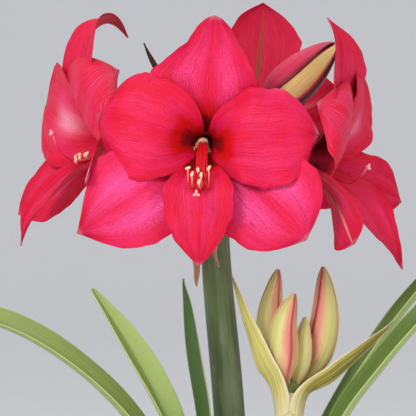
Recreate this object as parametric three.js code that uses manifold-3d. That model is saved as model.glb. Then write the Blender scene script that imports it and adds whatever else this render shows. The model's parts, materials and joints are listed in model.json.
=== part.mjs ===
// A flowering amaryllis in a plain clay pot, in millimetres, +Z up.
// The origin is the middle of the pot's underside. -Y is the side that the front flower faces.
// A tall scape carries four open flowers and one opening bud; a short scape carries four young buds.
import * as THREE from "three";
import { mergeVertices } from "three/addons/utils/BufferGeometryUtils.js";
import Module from "manifold-3d";

const wasm = await Module();
wasm.setup();

// Driving dimensions
const GAP = 0.3; // between pieces that rest on or stand in each other
const POT_HEIGHT = 148;
const POT_BASE_R = 59;
const POT_RIM_R = 84;
const POT_WALL = 6;
const POT_FLOOR = 7;
const RIM_BAND = 30;
const RIM_PROUD = 4.5;
const DRAIN_R = 5;
const DRAIN_RING_R = 30;
const DRAINS = 4;
const SOIL_TOP = 134;
const NECK_TOP = 186;
const SOCKET_DEPTH = 14;
const TALL_TOP = 430;
const SHORT_TOP = 296;
const HOLE_DEPTH = 6; // of the holes in the scape heads that the flower stalks stand in
const STALK_R = 3.2;
const TEPAL_THICK = 0.9;
const BRACT_THICK = 0.9;
const LEAF_THICK = 2.4;
const LEAF_EDGE_THICK = 1.2;

const rad = THREE.MathUtils.degToRad;
const lerp = THREE.MathUtils.lerp;
const vec = (x, y, z) => new THREE.Vector3(x, y, z);
const smooth = (x) => THREE.MathUtils.smoothstep(x, 0, 1);

// Solids: a closed three.js geometry becomes a manifold solid and comes back as a geometry
function solid(geometry) {
  const bare = new THREE.BufferGeometry()
    .setAttribute("position", geometry.getAttribute("position"))
    .setIndex(geometry.index);
  const merged = mergeVertices(bare, 1e-4);
  return new wasm.Manifold(
    new wasm.Mesh({
      numProp: 3,
      vertProperties: merged.attributes.position.array,
      triVerts: new Uint32Array(merged.index.array),
    }),
  );
}

function geometryOf(body) {
  const mesh = body.getMesh();
  return new THREE.BufferGeometry()
    .setAttribute("position", new THREE.BufferAttribute(mesh.vertProperties, 3))
    .setIndex(new THREE.BufferAttribute(mesh.triVerts, 1));
}

// Fuses bodies into one, without the tiny pockets that fused claws shut in
function join(geometries) {
  const fused = geometries.map(solid).reduce((all, one) => all.add(one)).simplify(0.05);
  return fused.decompose().sort((a, b) => b.volume() - a.volume())[0];
}

const carve = (body, ...tools) => tools.reduce((left, tool) => left.subtract(solid(tool)), body);

function facets(points, triangles) {
  const numbers = new Float32Array(points.flatMap((p) => p.toArray()));
  return new THREE.BufferGeometry()
    .setAttribute("position", new THREE.BufferAttribute(numbers, 3))
    .setIndex(triangles.flat());
}

// A thin blade: rows of points down its middle surface, given a thickness at each point
function blade(rows, thickness) {
  const last = rows.length - 1;
  const across = rows[0].length;
  const at = (i, j) => rows[Math.min(last, Math.max(0, i))][Math.min(across - 1, Math.max(0, j))];
  const faces = [1, -1].map((side) =>
    rows.flatMap((row, i) =>
      row.map((point, j) => {
        const along = at(i + 1, j).clone().sub(at(i - 1, j));
        const over = at(i, j + 1).clone().sub(at(i, j - 1));
        const half = thickness(i / last, (2 * j) / (across - 1) - 1) / 2;
        return point.clone().addScaledVector(over.cross(along).normalize(), side * half);
      }),
    ),
  );
  const count = faces[0].length;
  const id = (i, j, face) => face * count + i * across + j;
  const triangles = [];
  for (let i = 0; i < last; i++)
    for (let j = 0; j < across - 1; j++) {
      const [a, b, c, d] = [id(i, j, 0), id(i, j + 1, 0), id(i + 1, j + 1, 0), id(i + 1, j, 0)];
      triangles.push([a, b, c], [a, c, d]);
      triangles.push([a + count, c + count, b + count], [a + count, d + count, c + count]);
    }
  const rim = [];
  for (let j = 0; j < across - 1; j++) rim.push(id(0, j, 0));
  for (let i = 0; i < last; i++) rim.push(id(i, across - 1, 0));
  for (let j = across - 1; j > 0; j--) rim.push(id(last, j, 0));
  for (let i = last; i > 0; i--) rim.push(id(i, 0, 0));
  rim.forEach((a, n) => {
    const b = rim[(n + 1) % rim.length];
    triangles.push([b, a, a + count], [b, a + count, b + count]);
  });
  return facets([...faces[0], ...faces[1]], triangles);
}

// A round body: a stack of rings closed by a point at each end
function stack(rings) {
  const sides = rings[0].length;
  const middle = (ring) => ring.reduce((sum, p) => sum.add(p), vec(0, 0, 0)).divideScalar(sides);
  const points = [...rings.flat(), middle(rings[0]), middle(rings.at(-1))];
  const [foot, head] = [points.length - 2, points.length - 1];
  const triangles = [];
  for (let k = 0; k < sides; k++) {
    const next = (k + 1) % sides;
    const top = (rings.length - 1) * sides;
    triangles.push([foot, next, k], [head, top + k, top + next]);
    for (let i = 0; i < rings.length - 1; i++) {
      const [low, high] = [i * sides, (i + 1) * sides];
      triangles.push([low + k, low + next, high + next], [low + k, high + next, high + k]);
    }
  }
  return facets(points, triangles);
}

const evenly = (steps) => Array.from({ length: steps + 1 }, (_, i) => i / steps);

// A smooth route through points at the given shares of its length, with a frame that doesn't twist
function route(points, stations, up = vec(0, 1, 0)) {
  const curve = new THREE.CatmullRomCurve3(points, false, "centripetal");
  let side = null;
  return stations.map((s) => {
    const along = curve.getTangentAt(s);
    const from = side ?? up.clone().cross(along);
    side = from.addScaledVector(along, -from.dot(along)).normalize();
    return { s, point: curve.getPointAt(s), along, side: side.clone(), up: along.clone().cross(side) };
  });
}

// A stem: a round or oval section carried along a route; radius(s) may give [across, deep]
function stem(points, radius, sides, stations, up) {
  return stack(
    route(points, stations, up).map(({ s, point, side, up: deep }) => {
      const [a, b] = [radius(s)].flat().length === 2 ? radius(s) : [radius(s), radius(s)];
      return Array.from({ length: sides }, (_, k) => {
        const turn = (2 * Math.PI * k) / sides;
        return point.clone().addScaledVector(side, a * Math.cos(turn)).addScaledVector(deep,
          b * Math.sin(turn));
      });
    }),
  );
}

// The flower's own frame: right, up and out, seen by someone it faces
function flowerFrame({ base, faces, nods }) {
  const level = Math.cos(rad(nods));
  const out = vec(Math.sin(rad(faces)) * level, -Math.cos(rad(faces)) * level, -Math.sin(rad(nods)));
  const right = vec(0, 0, 1).cross(out).normalize();
  return { base: vec(...base), right, up: out.clone().cross(right), out };
}

const inFlower = ({ base, right, up, out }, x, y, z) =>
  base.clone().addScaledVector(right, x).addScaledVector(up, y).addScaledVector(out, z);

// A smooth value through knots at given shares of the length
function through(knots, s) {
  let k = 0;
  while (k < knots.length - 2 && s > knots[k + 1][0]) k++;
  const [s0, v0] = knots[k];
  const [s1, v1] = knots[k + 1];
  return lerp(v0, v1, smooth((s - s0) / (s1 - s0)));
}

// One tepal: its midrib leans away from the flower's axis. Its section follows the tube, then its own cup
const TUBE_R = 6.6;
const CLAW = 0.2;
const turned = (a, b, angle) =>
  a.clone().multiplyScalar(Math.cos(angle)).addScaledVector(b, Math.sin(angle));

function tepalRows(frame, t, along, across) {
  const around = rad(t.around);
  const radial = turned(frame.right, frame.up, around);
  const sideways = frame.out.clone().cross(radial);
  const lean = [[0, 6], [0.3, t.lean[0]], [t.opens ?? 0.62, t.lean[1]], [1, t.lean[2]]];
  const inset = t.inner ? 0 : 0.9;
  const point = frame.base.clone().addScaledVector(frame.out, 3).addScaledVector(radial, TUBE_R + inset);
  const fine = 8;
  const rows = [];
  for (let i = 0; i <= along * fine; i++) {
    const s = i / (along * fine);
    const angle = rad(through(lean, s) + (t.hook ?? 0) * smooth((s - 0.68) / 0.32));
    const sway = rad((t.sway ?? 0) * smooth((s - 0.25) / 0.75));
    const forward = turned(frame.out, radial, angle);
    const normal = turned(frame.out, radial, angle - Math.PI / 2);
    const over = sideways.clone().applyAxisAngle(normal, sway);
    forward.applyAxisAngle(normal, sway);
    const twist = rad((t.twist ?? 0) * smooth((s - 0.25) / 0.75));
    over.applyAxisAngle(forward, twist);
    normal.applyAxisAngle(forward, twist);
    if (i % fine === 0) {
      const half = (t.width / 2) * outline(s, t);
      const reach = point.clone().sub(frame.base);
      const fromAxis = reach.addScaledVector(frame.out, -reach.dot(frame.out)).length();
      const tubeCup = Math.min(1.6, half / fromAxis) * (t.hug ?? 1);
      const ownCup = rad(through([[0.45, t.cup[0]], [1, t.cup[1]]], Math.max(0.45, s)));
      const cup = lerp(tubeCup, ownCup, smooth((s - 0.12) / 0.4));
      rows.push(section(point, over, normal, half, cup, s, t, across));
    }
    point.addScaledVector(forward, t.length / (along * fine));
  }
  return rows;
}

function outline(s, { widest = 0.62, point = 2.2, taper = 1, waist = 1.8 }) {
  const claw = lerp(CLAW, 1, Math.sin((Math.min(1, s / widest) * Math.PI) / 2) ** waist);
  const tip = s < widest ? 1 : (1 - ((s - widest) / (1 - widest)) ** point) ** taper;
  return Math.max(0.012, claw * tip);
}

function section(middle, over, normal, half, cup, s, t, across) {
  const ruffle = (t.ruffle ?? 0) * smooth((s - 0.35) / 0.3);
  const roll = [t.roll?.[0] ?? 0, t.roll?.[1] ?? 0].map((r) => rad(r) * smooth((s - 0.3) / 0.35));
  return Array.from({ length: across + 1 }, (_, j) => {
    const v = (2 * j) / across - 1;
    const parts = 6;
    let [x, z] = [0, 0];
    for (let n = 0; n < parts; n++) {
      const w = (Math.abs(v) * (n + 0.5)) / parts;
      const bend = cup * w + (v < 0 ? roll[0] : roll[1]) * w ** 3;
      x += (Math.cos(bend) * half * Math.abs(v)) / parts;
      z += (Math.sin(bend) * half * Math.abs(v)) / parts;
    }
    const wave = ruffle * v * v * Math.sin(2 * Math.PI * (2 * s + (v < 0 ? 0.3 : 0)));
    return middle.clone().addScaledVector(over, Math.sign(v) * x).addScaledVector(normal, z + wave);
  });
}

const tepalThick = (s) => lerp(1.6, TEPAL_THICK, smooth(s / 0.4));

// The floral tube: a cup with a floor, which the six tepals grow out of
function floralTube(frame) {
  const profile = [[0, 0], [7.4, 0], [8.4, 10], [6.2, 10], [5.6, 2.4], [0, 2.4]];
  const cup = new THREE.LatheGeometry(profile.map(([r, h]) => new THREE.Vector2(r, h)), 10);
  cup.rotateX(Math.PI / 2);
  const place = new THREE.Matrix4().makeBasis(frame.right, frame.up, frame.out);
  cup.applyMatrix4(place.setPosition(frame.base));
  return cup;
}

function bloom(frame, tepals, along, across) {
  const blades = tepals.map((t) => blade(tepalRows(frame, t, along, across), tepalThick));
  return join([floralTube(frame), ...blades]);
}

// Flowers. A tepal: around = where it stands round the flower, lean = its midrib's angle from the axis
// in the funnel, at mid blade and at the tip, cup = how far its half section curls forward there.
const FLOWERS = {
  front: {
    base: [-26, -20, 480], faces: -3, nods: 0, grid: [8, 6],
    tepals: [
      { around: 84, length: 108, width: 84, lean: [50, 82, 84], cup: [6, 0], ruffle: 2, widest: 0.5,
        point: 1.3, taper: 1.2, waist: 2.2 },
      { around: 222, length: 126, width: 74, lean: [58, 84, 80], cup: [0, 8], sway: -13, point: 2,
        taper: 1.1, waist: 2.2 },
      { around: 320, length: 116, width: 80, lean: [58, 84, 84], cup: [0, 0], sway: -8, point: 3.2,
        waist: 2.2 },
      { around: 165, length: 118, width: 78, lean: [14, 90, 142], cup: [-2, -34], inner: true,
        point: 3.6, hug: 1.2, waist: 1.5 },
      { around: 3, length: 118, width: 70, lean: [14, 88, 126], cup: [-2, -34], inner: true, point: 4.6,
        hug: 1.2, waist: 1.5 },
      { around: 266, length: 124, width: 60, lean: [15, 80, 84], cup: [4, -10], inner: true, point: 1.5,
        taper: 1.4, waist: 1.5 },
    ],
  },
  left: {
    base: [-70, 22, 482], faces: -64, nods: 0, grid: [7, 4],
    tepals: [
      { around: 90, length: 146, width: 68, lean: [50, 104, 165], hook: 80, cup: [20, 20], point: 1.6,
        taper: 1.2 },
      { around: 220, length: 114, width: 50, lean: [42, 56, 64], cup: [12, 10], point: 3 },
      { around: 338, length: 112, width: 36, lean: [38, 50, 60], cup: [8, 0] },
      { around: 146, length: 112, width: 78, lean: [16, 88, 120], cup: [16, 0], inner: true, point: 3 },
      { around: 50, length: 122, width: 90, lean: [16, 96, 180], cup: [0, -30], inner: true, point: 3.4 },
      { around: 267, length: 130, width: 36, lean: [20, 44, 44], hook: 34, cup: [30, 20], inner: true,
        point: 1.5 },
    ],
  },
  right: {
    base: [32, -5, 468], faces: 70, nods: 0, grid: [7, 4],
    tepals: [
      { around: 98, length: 142, width: 60, lean: [52, 92, 92], hook: 60, twist: -8, cup: [16, 20],
        point: 1.6, taper: 1.2 },
      { around: 334, length: 100, width: 48, lean: [36, 46, 72], cup: [12, 10], point: 2.4 },
      { around: 243, length: 102, width: 46, lean: [48, 64, 72], cup: [16, 10], point: 3.4, twist: -32 },
      { around: 58, length: 116, width: 58, lean: [24, 88, 120], cup: [20, 10], inner: true, point: 3 },
      { around: 136, length: 98, width: 74, lean: [10, 80, 150], cup: [0, -30], inner: true, point: 3.4 },
      { around: 287, length: 122, width: 54, lean: [28, 60, 68], cup: [10, 10], inner: true, point: 1.5,
        taper: 1.3 },
    ],
  },
  back: {
    base: [0, 40, 487], faces: 165, nods: -6, grid: [5, 4],
    tepals: [
      { around: 92, length: 126, width: 66, lean: [40, 72, 84], cup: [16, 6], ruffle: 2, point: 2.4 },
      { around: 212, length: 120, width: 72, lean: [44, 72, 90], cup: [12, 4] },
      { around: 330, length: 112, width: 72, lean: [44, 72, 100], cup: [12, 4] },
      { around: 156, length: 108, width: 66, lean: [18, 78, 120], cup: [8, -10], inner: true, point: 3 },
      { around: 28, length: 106, width: 66, lean: [18, 84, 130], cup: [8, -10], inner: true, point: 3 },
      { around: 272, length: 108, width: 54, lean: [18, 74, 96], cup: [10, 0], inner: true },
    ],
  },
};

// Stamens: a bundle of threads that parts into six with anthers, and a longer style.
// Places are [right, up, out]. rise and reach scale where the front flower has its anthers.
const ANTHERS = [
  [-12, -15, 60],
  [-9, -20, 66],
  [-5, -16, 58],
  [-3, -22, 68],
  [3, -16, 60],
  [6, -20, 65],
];
const STAMENS = {
  front: { rise: 1, reach: 1, split: [-1, -9, 40], style: [[-3, -22, 64], [-5, -35, 84]] },
  left: { rise: 0.42, reach: 0.86, split: [-1, -5, 34], style: [[-3, -15, 56], [-4, 7, 78]] },
  right: { rise: 0.5, reach: 0.8, split: [-1, -5, 32], style: [[-2, -17, 50], [-2, -5, 70]] },
  back: { rise: 0.6, reach: 0.9, split: [-1, -5, 34], style: [[-2, -14, 56], [-3, -4, 76]] },
};

function stamens(frame, { rise, reach, split, style }) {
  const place = (p) => inFlower(frame, ...p);
  const thread = (tip, turn) => {
    const foot = [split[0] + 1.2 * Math.cos(turn), split[1] + 1.2 * Math.sin(turn), split[2] - 2];
    return stem([foot, tip].map(place), () => 0.6, 3, [0, 1]);
  };
  const anther = ([x, y, z], turn) => {
    const [dx, dy] = [3 * Math.cos(turn), 3 * Math.sin(turn)];
    return stem([place([x - dx, y - dy, z]), place([x + dx, y + dy, z + 1])],
      (s) => 0.5 + 1.1 * Math.sin(Math.PI * s), 4, evenly(2));
  };
  const bundle = stem([[0, 0, 2.7], [0, 0, 6], [0, -1, 14], split].map(place),
    (s) => lerp(4.2, 2, smooth(s / 0.4)), 6, [0, 0.3, 1]);
  const [bow, end] = style;
  const tips = ANTHERS.map(([x, y, z]) => [x, y * rise, z * reach]);
  const inside = [split[0], split[1], split[2] - 2];
  return join([
    bundle,
    ...tips.flatMap((tip, k) => [thread(tip, Math.PI * (1.15 - 0.43 * k)), anther(tip, 1.2 + 0.5 * k)]),
    stem([inside, bow, end].map(place), (s) => (s > 0.97 ? 1.8 : 0.7), 3, [0, 0.3, 0.6, 0.9, 1]),
  ]);
}

const part = new THREE.Group();
function add(name, geometry, colour, roughness = 0.6) {
  const material = new THREE.MeshStandardMaterial({ color: colour, roughness, metalness: 0 });
  const mesh = new THREE.Mesh(geometry, material);
  mesh.name = name;
  part.add(mesh);
}

const PETAL = 0xf42b55;
const BUD_RED = 0xb8354a;
const STEM_GREEN = 0x5c664b;
const LEAF_GREEN = 0x8b9c50;
const BUD_GREEN = 0xc8c070;
const STAMEN_PINK = 0xe8a58a;
const WITHERED = 0xb59a72;
const DRIED = 0x3c241f;
const TUNIC = 0x9a6238;
const CLAY = 0xb5623c;
const SOIL = 0x33251c;

for (const [name, flower] of Object.entries(FLOWERS)) {
  const frame = flowerFrame(flower);
  add(`bloom_${name}`, geometryOf(bloom(frame, flower.tepals, ...flower.grid)), PETAL);
  add(`stamens_${name}`, geometryOf(stamens(frame, STAMENS[name])), STAMEN_PINK);
}

// Scapes: hollow-looking but solid stems that stand in the bulb's neck and widen into a head
const TALL = [vec(-4, 14, NECK_TOP - SOCKET_DEPTH), vec(-8, 12, 276), vec(-17, 8, 380),
  vec(-20, 6, TALL_TOP)];
const SHORT = [vec(20, -12, NECK_TOP - SOCKET_DEPTH), vec(27, -16, 215), vec(34, -20, 276),
  vec(36, -20, SHORT_TOP)];
const TALL_STATIONS = [0, 0.1, 0.3, 0.5, 0.7, 0.92, 0.96, 1];
const SHORT_STATIONS = [0, 0.15, 0.4, 0.65, 0.86, 0.93, 1];
const tallRadius = (s) => lerp(12.3, 11, s) + 2.6 * smooth((s - 0.92) / 0.05);
const shortRadius = (s) => lerp(9.8, 9.4, s) + 2 * smooth((s - 0.86) / 0.1);

// Flower stalks: from a hole in the tall scape's head to just behind a flower's tube, where the ovary is
const AROUND_HEAD = { front: 270, right: 342, bud: 54, back: 126, left: 198 };
const HEAD_RING_R = 7.4;
const BUD_FOOT = vec(8, 9, 497);
const BUD_TIP = vec(73, 20, 556);
const BUD_WIDTH = 34;
const STALK_STATIONS = [0, 0.14, 0.28, 0.42, 0.56, 0.68, 0.76, 0.84, 0.92, 1];
const STALK_UP = vec(0, 1, 0.01);
const STALK_BENDS = {
  front: [[-23, -1, 448], [-26, -3, 468]],
  left: [[-30, 9, 448], [-44, 20, 472]],
  right: [[-8, 4, 442], [8, 3, 459]],
  back: [[-22, 21, 450], [-14, 27, 474]],
  bud: [[-12, 10, 450], [-5, 8.5, 475]],
};

function stalkFoot(name, extra = 0) {
  const turn = rad(AROUND_HEAD[name]);
  const x = -20 + HEAD_RING_R * Math.cos(turn);
  const y = 6 + HEAD_RING_R * Math.sin(turn);
  return [-HOLE_DEPTH - extra, -1, 4, 8].map((z) => vec(x, y, TALL_TOP + z));
}

function stalk(name) {
  const flower = name === "bud" ? null : flowerFrame(FLOWERS[name]);
  const out = flower ? flower.out : BUD_TIP.clone().sub(BUD_FOOT).normalize();
  const end = (flower ? flower.base : BUD_FOOT).clone().addScaledVector(out, -GAP);
  const points = [
    ...stalkFoot(name),
    ...STALK_BENDS[name].map((p) => vec(...p)),
    end.clone().addScaledVector(out, -11),
    end.clone().addScaledVector(out, -4),
    end,
  ];
  const ovary = (s) => STALK_R + 3 * smooth((s - 0.66) / 0.16) * (1 - 0.3 * smooth((s - 0.9) / 0.1));
  return stem(points, ovary, 8, STALK_STATIONS, STALK_UP);
}

const stalkHole = (name) => stem(stalkFoot(name, GAP), () => STALK_R + GAP, 8, [0, 1], STALK_UP);
const tallScape = carve(
  solid(stem(TALL, tallRadius, 14, TALL_STATIONS)),
  ...Object.keys(AROUND_HEAD).map(stalkHole),
);
add("scape_tall", geometryOf(tallScape), STEM_GREEN);
for (const name of Object.keys(AROUND_HEAD)) add(`stalk_${name}`, stalk(name), STEM_GREEN);

// Buds: a spindle with a rounded-triangular section on a short foot
const BUD_STATIONS = [0, 0.055, 0.15, 0.27, 0.4, 0.55, 0.7, 0.86, 1];
function bud(points, width, { foot = 2, sides = 10 } = {}) {
  return stack(
    route(points.map((p) => vec(...p)), BUD_STATIONS).map(({ s, point, side, up: deep }) => {
      const swell = Math.sin(Math.PI * Math.min(1, 0.1 + s * 0.9) ** 1.12) ** 0.9;
      const r = Math.max(0.5, lerp(foot, (width / 2) * swell, smooth((s - 0.05) / 0.33)));
      return Array.from({ length: sides }, (_, k) => {
        const turn = (2 * Math.PI * k) / sides;
        const full = r * (1 + 0.06 * Math.cos(3 * turn) * swell);
        return point.clone().addScaledVector(turned(side, deep, turn), full);
      });
    }),
  );
}

const openingPath = [BUD_FOOT, BUD_FOOT.clone().lerp(BUD_TIP, 0.5), BUD_TIP].map((p) => p.toArray());
add("bud_opening", bud(openingPath, BUD_WIDTH, { foot: 5, sides: 12 }), BUD_RED);
const YOUNG_BUDS = {
  back_left: { path: [[30, -13, 291], [30, -13, 298], [24, -5, 330], [23, -2, 352], [28.5, -6, 386]],
    width: 20 },
  middle: { path: [[33, -26.5, 291], [33, -26.5, 298], [32, -31, 324], [32, -33, 345],
    [39.5, -33, 369]], width: 21.5 },
  small: { path: [[40.5, -20, 291], [40.5, -20, 298], [45, -19, 322], [48, -20, 351]], width: 14 },
  right: { path: [[42, -12.5, 291], [42, -12.5, 298], [56, -4, 318], [63, -2, 346], [62, -6, 388]],
    width: 22 },
};
const BUD_HOLE_R = 2 * 1.06 + GAP + 0.1;
const budHole = ({ path: [[x, y, z]] }) =>
  stem([vec(x, y, z - GAP), vec(x, y, z + 12)], () => BUD_HOLE_R, 10, [0, 1]);
const shortScape = carve(
  solid(stem(SHORT, shortRadius, 14, SHORT_STATIONS)),
  ...Object.values(YOUNG_BUDS).map(budHole),
);
add("scape_short", geometryOf(shortScape), BUD_GREEN);
for (const [name, { path, width }] of Object.entries(YOUNG_BUDS))
  add(`bud_${name}`, bud(path, width), BUD_GREEN);

// Bracts: thin blades along a path; faces = direction of the inner face at the foot and at the tip
const BRACTS = {
  spathe_left: { path: [[28.55, -29.85, 287], [26, -33.5, 299], [16, -40, 319], [6, -38, 345],
    [-1, -36, 366], [-7, -32, 384]], width: 19, faces: [[0.6, 0.8, 0.1], [0.4, 0.85, 0.4]],
    fold: [14, 30], base: 0.9, shoulder: 0.3, blunt: 1.1 },
  spathe_right: { path: [[42.95, -29.1, 287], [48, -31.5, 297], [68.5, -29, 310], [88.5, -25, 326],
    [105, -21, 340], [113, -18, 348]], width: 14, faces: [[-0.6, 0.8, 0.1], [-0.3, 0.9, 0.4]],
    fold: [12, 30], base: 0.9, shoulder: 0.4, blunt: 1.4 },
  spathe_hanging: { path: [[-34.9, 4, 427], [-35.3, 3, 412], [-34.5, 1, 392], [-32.6, 0, 373]],
    width: 10, faces: [[1, 0, 0], [0.6, -0.8, 0]], fold: [14, 40] },
  spathe_dried: { path: [[-26, 19.75, 424], [-29, 28, 446], [-48, 35, 500], [-73, 30, 558]], width: 11,
    faces: [[0.3, -1, 0], [0.5, -0.8, 0.3]], fold: [14, 60] },
  bracteole: { path: [[-18, -8.0, 428], [-18, -9.4, 412], [-19, -9, 398], [-16, -9, 388]], width: 4,
    faces: [[0, 1, 0], [0.6, 0.8, 0]], fold: [10, 40] },
};

const BRACT_COLOURS = { spathe_left: BUD_GREEN, spathe_right: BUD_GREEN, spathe_dried: DRIED };

// A strap's fold fades where it is narrow, so that its two faces stay apart at the tip
const STRAP = { base: 0.72, shoulder: 0.55, blunt: 2.4 };
const STRAP_TIP = 0.6;
const FOLDS_FROM = 5;
function strapRows(strap, steps, across, grow = 0) {
  const { path, width, faces, fold, base, shoulder, blunt } = { ...STRAP, ...strap };
  const [foot, tip] = faces.map((f) => vec(...f).normalize());
  return route(path.map((p) => vec(...p)), evenly(steps)).map(({ s, point, along }) => {
    const face = foot.clone().lerp(tip, s);
    const over = along.clone().cross(face).normalize();
    const normal = over.clone().cross(along).normalize();
    const taper = 1 - Math.max(0, (s - shoulder) / (1 - shoulder)) ** blunt;
    const half = grow + Math.max(STRAP_TIP, (width / 2) * lerp(base, 1, smooth(s / 0.35)) * taper);
    const bend = rad(lerp(fold[0], fold[1], s)) * smooth(half / FOLDS_FROM);
    return Array.from({ length: across + 1 }, (_, j) => {
      const v = (2 * j) / across - 1;
      const turn = bend * Math.sqrt(Math.abs(v));
      const [x, z] = [half * v * Math.cos(turn), half * Math.abs(v) * Math.sin(turn)];
      return point.clone().addScaledVector(over, x).addScaledVector(normal, z);
    });
  });
}
for (const [name, bract] of Object.entries(BRACTS)) {
  const across = name === "bracteole" ? 2 : 4;
  add(name, blade(strapRows(bract, 6, across), () => BRACT_THICK), BRACT_COLOURS[name] ?? WITHERED);
}

// Leaves: channelled straps that stand in the bulb's neck
const SOCKET_FLOOR = NECK_TOP - SOCKET_DEPTH;
const LEAVES = {
  left_long: { path: [[-38, 0, SOCKET_FLOOR], [-43, -3, 205], [-88, -16, 280], [-135, -22, 323],
    [-182, -24, 347], [-228, -22, 353], [-262, -18, 340], [-284, -14, 318]], width: 34,
    faces: [[1, -0.1, 0.2], [0.5, -0.3, 1]], fold: [30, 30] },
  left_middle: { path: [[-30, -3, SOCKET_FLOOR], [-33.5, -7, 205], [-56, -24, 277], [-82, -34, 329],
    [-109, -40, 373]], width: 32, faces: [[1, -0.2, 0], [0.75, -0.85, 0.3]], fold: [30, 30] },
  left_narrow: { path: [[-22, -6, SOCKET_FLOOR], [-23.5, -9, 205], [-31, -22, 276], [-39, -26, 330],
    [-42, -28, 380]], width: 26, faces: [[1, -0.1, 0], [0.7, 0.5, 0.1]], fold: [30, 30] },
  right_front: { path: [[39.5, -3, SOCKET_FLOOR], [48, -8, 205], [78, -24, 277], [103, -34, 313],
    [132, -42, 349], [168, -46, 384], [212, -46, 408]], width: 32,
    faces: [[-1, -0.1, 0.2], [-0.6, -0.4, 0.9]], fold: [28, 30] },
  right_back: { path: [[31, 10, SOCKET_FLOOR], [39.5, 11, 205], [83, 12, 292], [114, 10, 340],
    [138, 8, 371], [162, 6, 400], [184, 4, 424]], width: 30,
    faces: [[-1, -0.1, 0.2], [-0.7, -0.2, 0.6]], fold: [26, 30] },
};
const LEAF_STEPS = 11;
const leafThick = (s, v) => lerp(LEAF_THICK, LEAF_EDGE_THICK, v * v) * lerp(1.3, 0.8, s);
for (const [name, leaf] of Object.entries(LEAVES))
  add(`leaf_${name}`, blade(strapRows(leaf, LEAF_STEPS, 4), leafThick), LEAF_GREEN);

// The bulb: a fat body and a broad oval neck with one socket for each leaf and each scape
const BULB_RINGS = [
  [78, 20, 20],
  [84, 36, 36],
  [98, 48, 48],
  [128, 54, 53],
  [150, 52.5, 48],
  [168, 50, 39],
  [180, 49, 34],
  [NECK_TOP, 47.5, 32],
];
const oval = ([z, a, b], grow = 0, sides = 20) =>
  Array.from({ length: sides }, (_, k) => {
    const turn = (2 * Math.PI * k) / sides;
    return vec((a + grow) * Math.cos(turn), (b + grow) * Math.sin(turn), z);
  });
const bulbShape = (grow) =>
  stack(BULB_RINGS.map(([z, a, b]) => oval([z < 120 ? z - grow : z, a, b], grow)));

// A leaf's socket: the leaf's own foot, grown by the gap
function leafSocket(leaf) {
  const rows = strapRows(leaf, LEAF_STEPS, 4, GAP);
  const used = rows.slice(0, 1 + rows.findIndex((row) => row.every((p) => p.z > NECK_TOP + 2)));
  const down = used[0][2].clone().sub(used[1][2]).setLength(GAP);
  used[0] = used[0].map((p) => p.clone().add(down));
  return blade(used, (s, v) => leafThick((s * (used.length - 1)) / LEAF_STEPS, v) + 2 * GAP);
}

function stemSocket([foot, next], radius, sides) {
  const along = next.clone().sub(foot).normalize();
  const ends = [-GAP, 40].map((d) => foot.clone().addScaledVector(along, d));
  return stem(ends, () => radius + GAP, sides, [0, 1]);
}
const bulb = carve(
  solid(bulbShape(0)),
  ...Object.values(LEAVES).map(leafSocket),
  stemSocket(TALL, 12.3, 14),
  stemSocket(SHORT, 9.8, 14),
);
add("bulb", geometryOf(bulb), TUNIC);

// The pot: a plain round clay pot with a thick rim band and drain holes off its middle; and its soil
const wallR = (z) => lerp(POT_BASE_R, POT_RIM_R - RIM_PROUD, z / POT_HEIGHT);
const innerR = (z) => wallR(z) - POT_WALL;
const lathe = (profile, sides = 32) =>
  new THREE.LatheGeometry(profile.map(([r, z]) => new THREE.Vector2(r, z)), sides).rotateX(Math.PI / 2);
const bandZ = POT_HEIGHT - RIM_BAND;
const potBody = carve(
  solid(
    lathe([
      [0, 0],
      [POT_BASE_R - 1.5, 0],
      [POT_BASE_R, 1.5],
      [wallR(bandZ), bandZ],
      [wallR(bandZ) + RIM_PROUD, bandZ + 1.5],
      [POT_RIM_R, POT_HEIGHT - 1.5],
      [POT_RIM_R - 1.5, POT_HEIGHT],
      [innerR(POT_HEIGHT), POT_HEIGHT],
      [innerR(POT_FLOOR), POT_FLOOR],
      [0, POT_FLOOR],
    ]),
  ),
  ...Array.from({ length: DRAINS }, (_, k) => {
    const turn = ((k + 0.5) * 2 * Math.PI) / DRAINS;
    const [x, y] = [DRAIN_RING_R * Math.cos(turn), DRAIN_RING_R * Math.sin(turn)];
    return stem([vec(x, y, -2), vec(x, y, POT_FLOOR + 2)], () => DRAIN_R, 8, [0, 1]);
  }),
);
add("pot", geometryOf(potBody), CLAY, 0.85);

const soilBody = carve(
  solid(
    lathe([
      [0, POT_FLOOR + GAP],
      [innerR(POT_FLOOR) - GAP, POT_FLOOR + GAP],
      [innerR(SOIL_TOP) - GAP, SOIL_TOP],
      [0, SOIL_TOP + 4],
    ]),
  ),
  bulbShape(GAP),
);
add("soil", geometryOf(soilBody), SOIL, 0.95);

export default part;
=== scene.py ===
# %% [markdown]
# # A flowering amaryllis in a clay pot
#
# The plant is one big bulb in a clay pot. A tall bare stem, the scape, carries four open flowers and
# a bud that is just parting, a short one carries four young buds, and strap leaves arch to both sides.
# The imported model has every piece at its real size, but in flat facets. Here each piece is made again
# from the same driving sizes, on a much finer grid, and painted with nodes.
#
# The imported model comes first, because it is the frame that all else is placed in. It is in metres,
# with +Z up, and the front flower faces -Y.

# %% Load the frame
import json
import math

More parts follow.
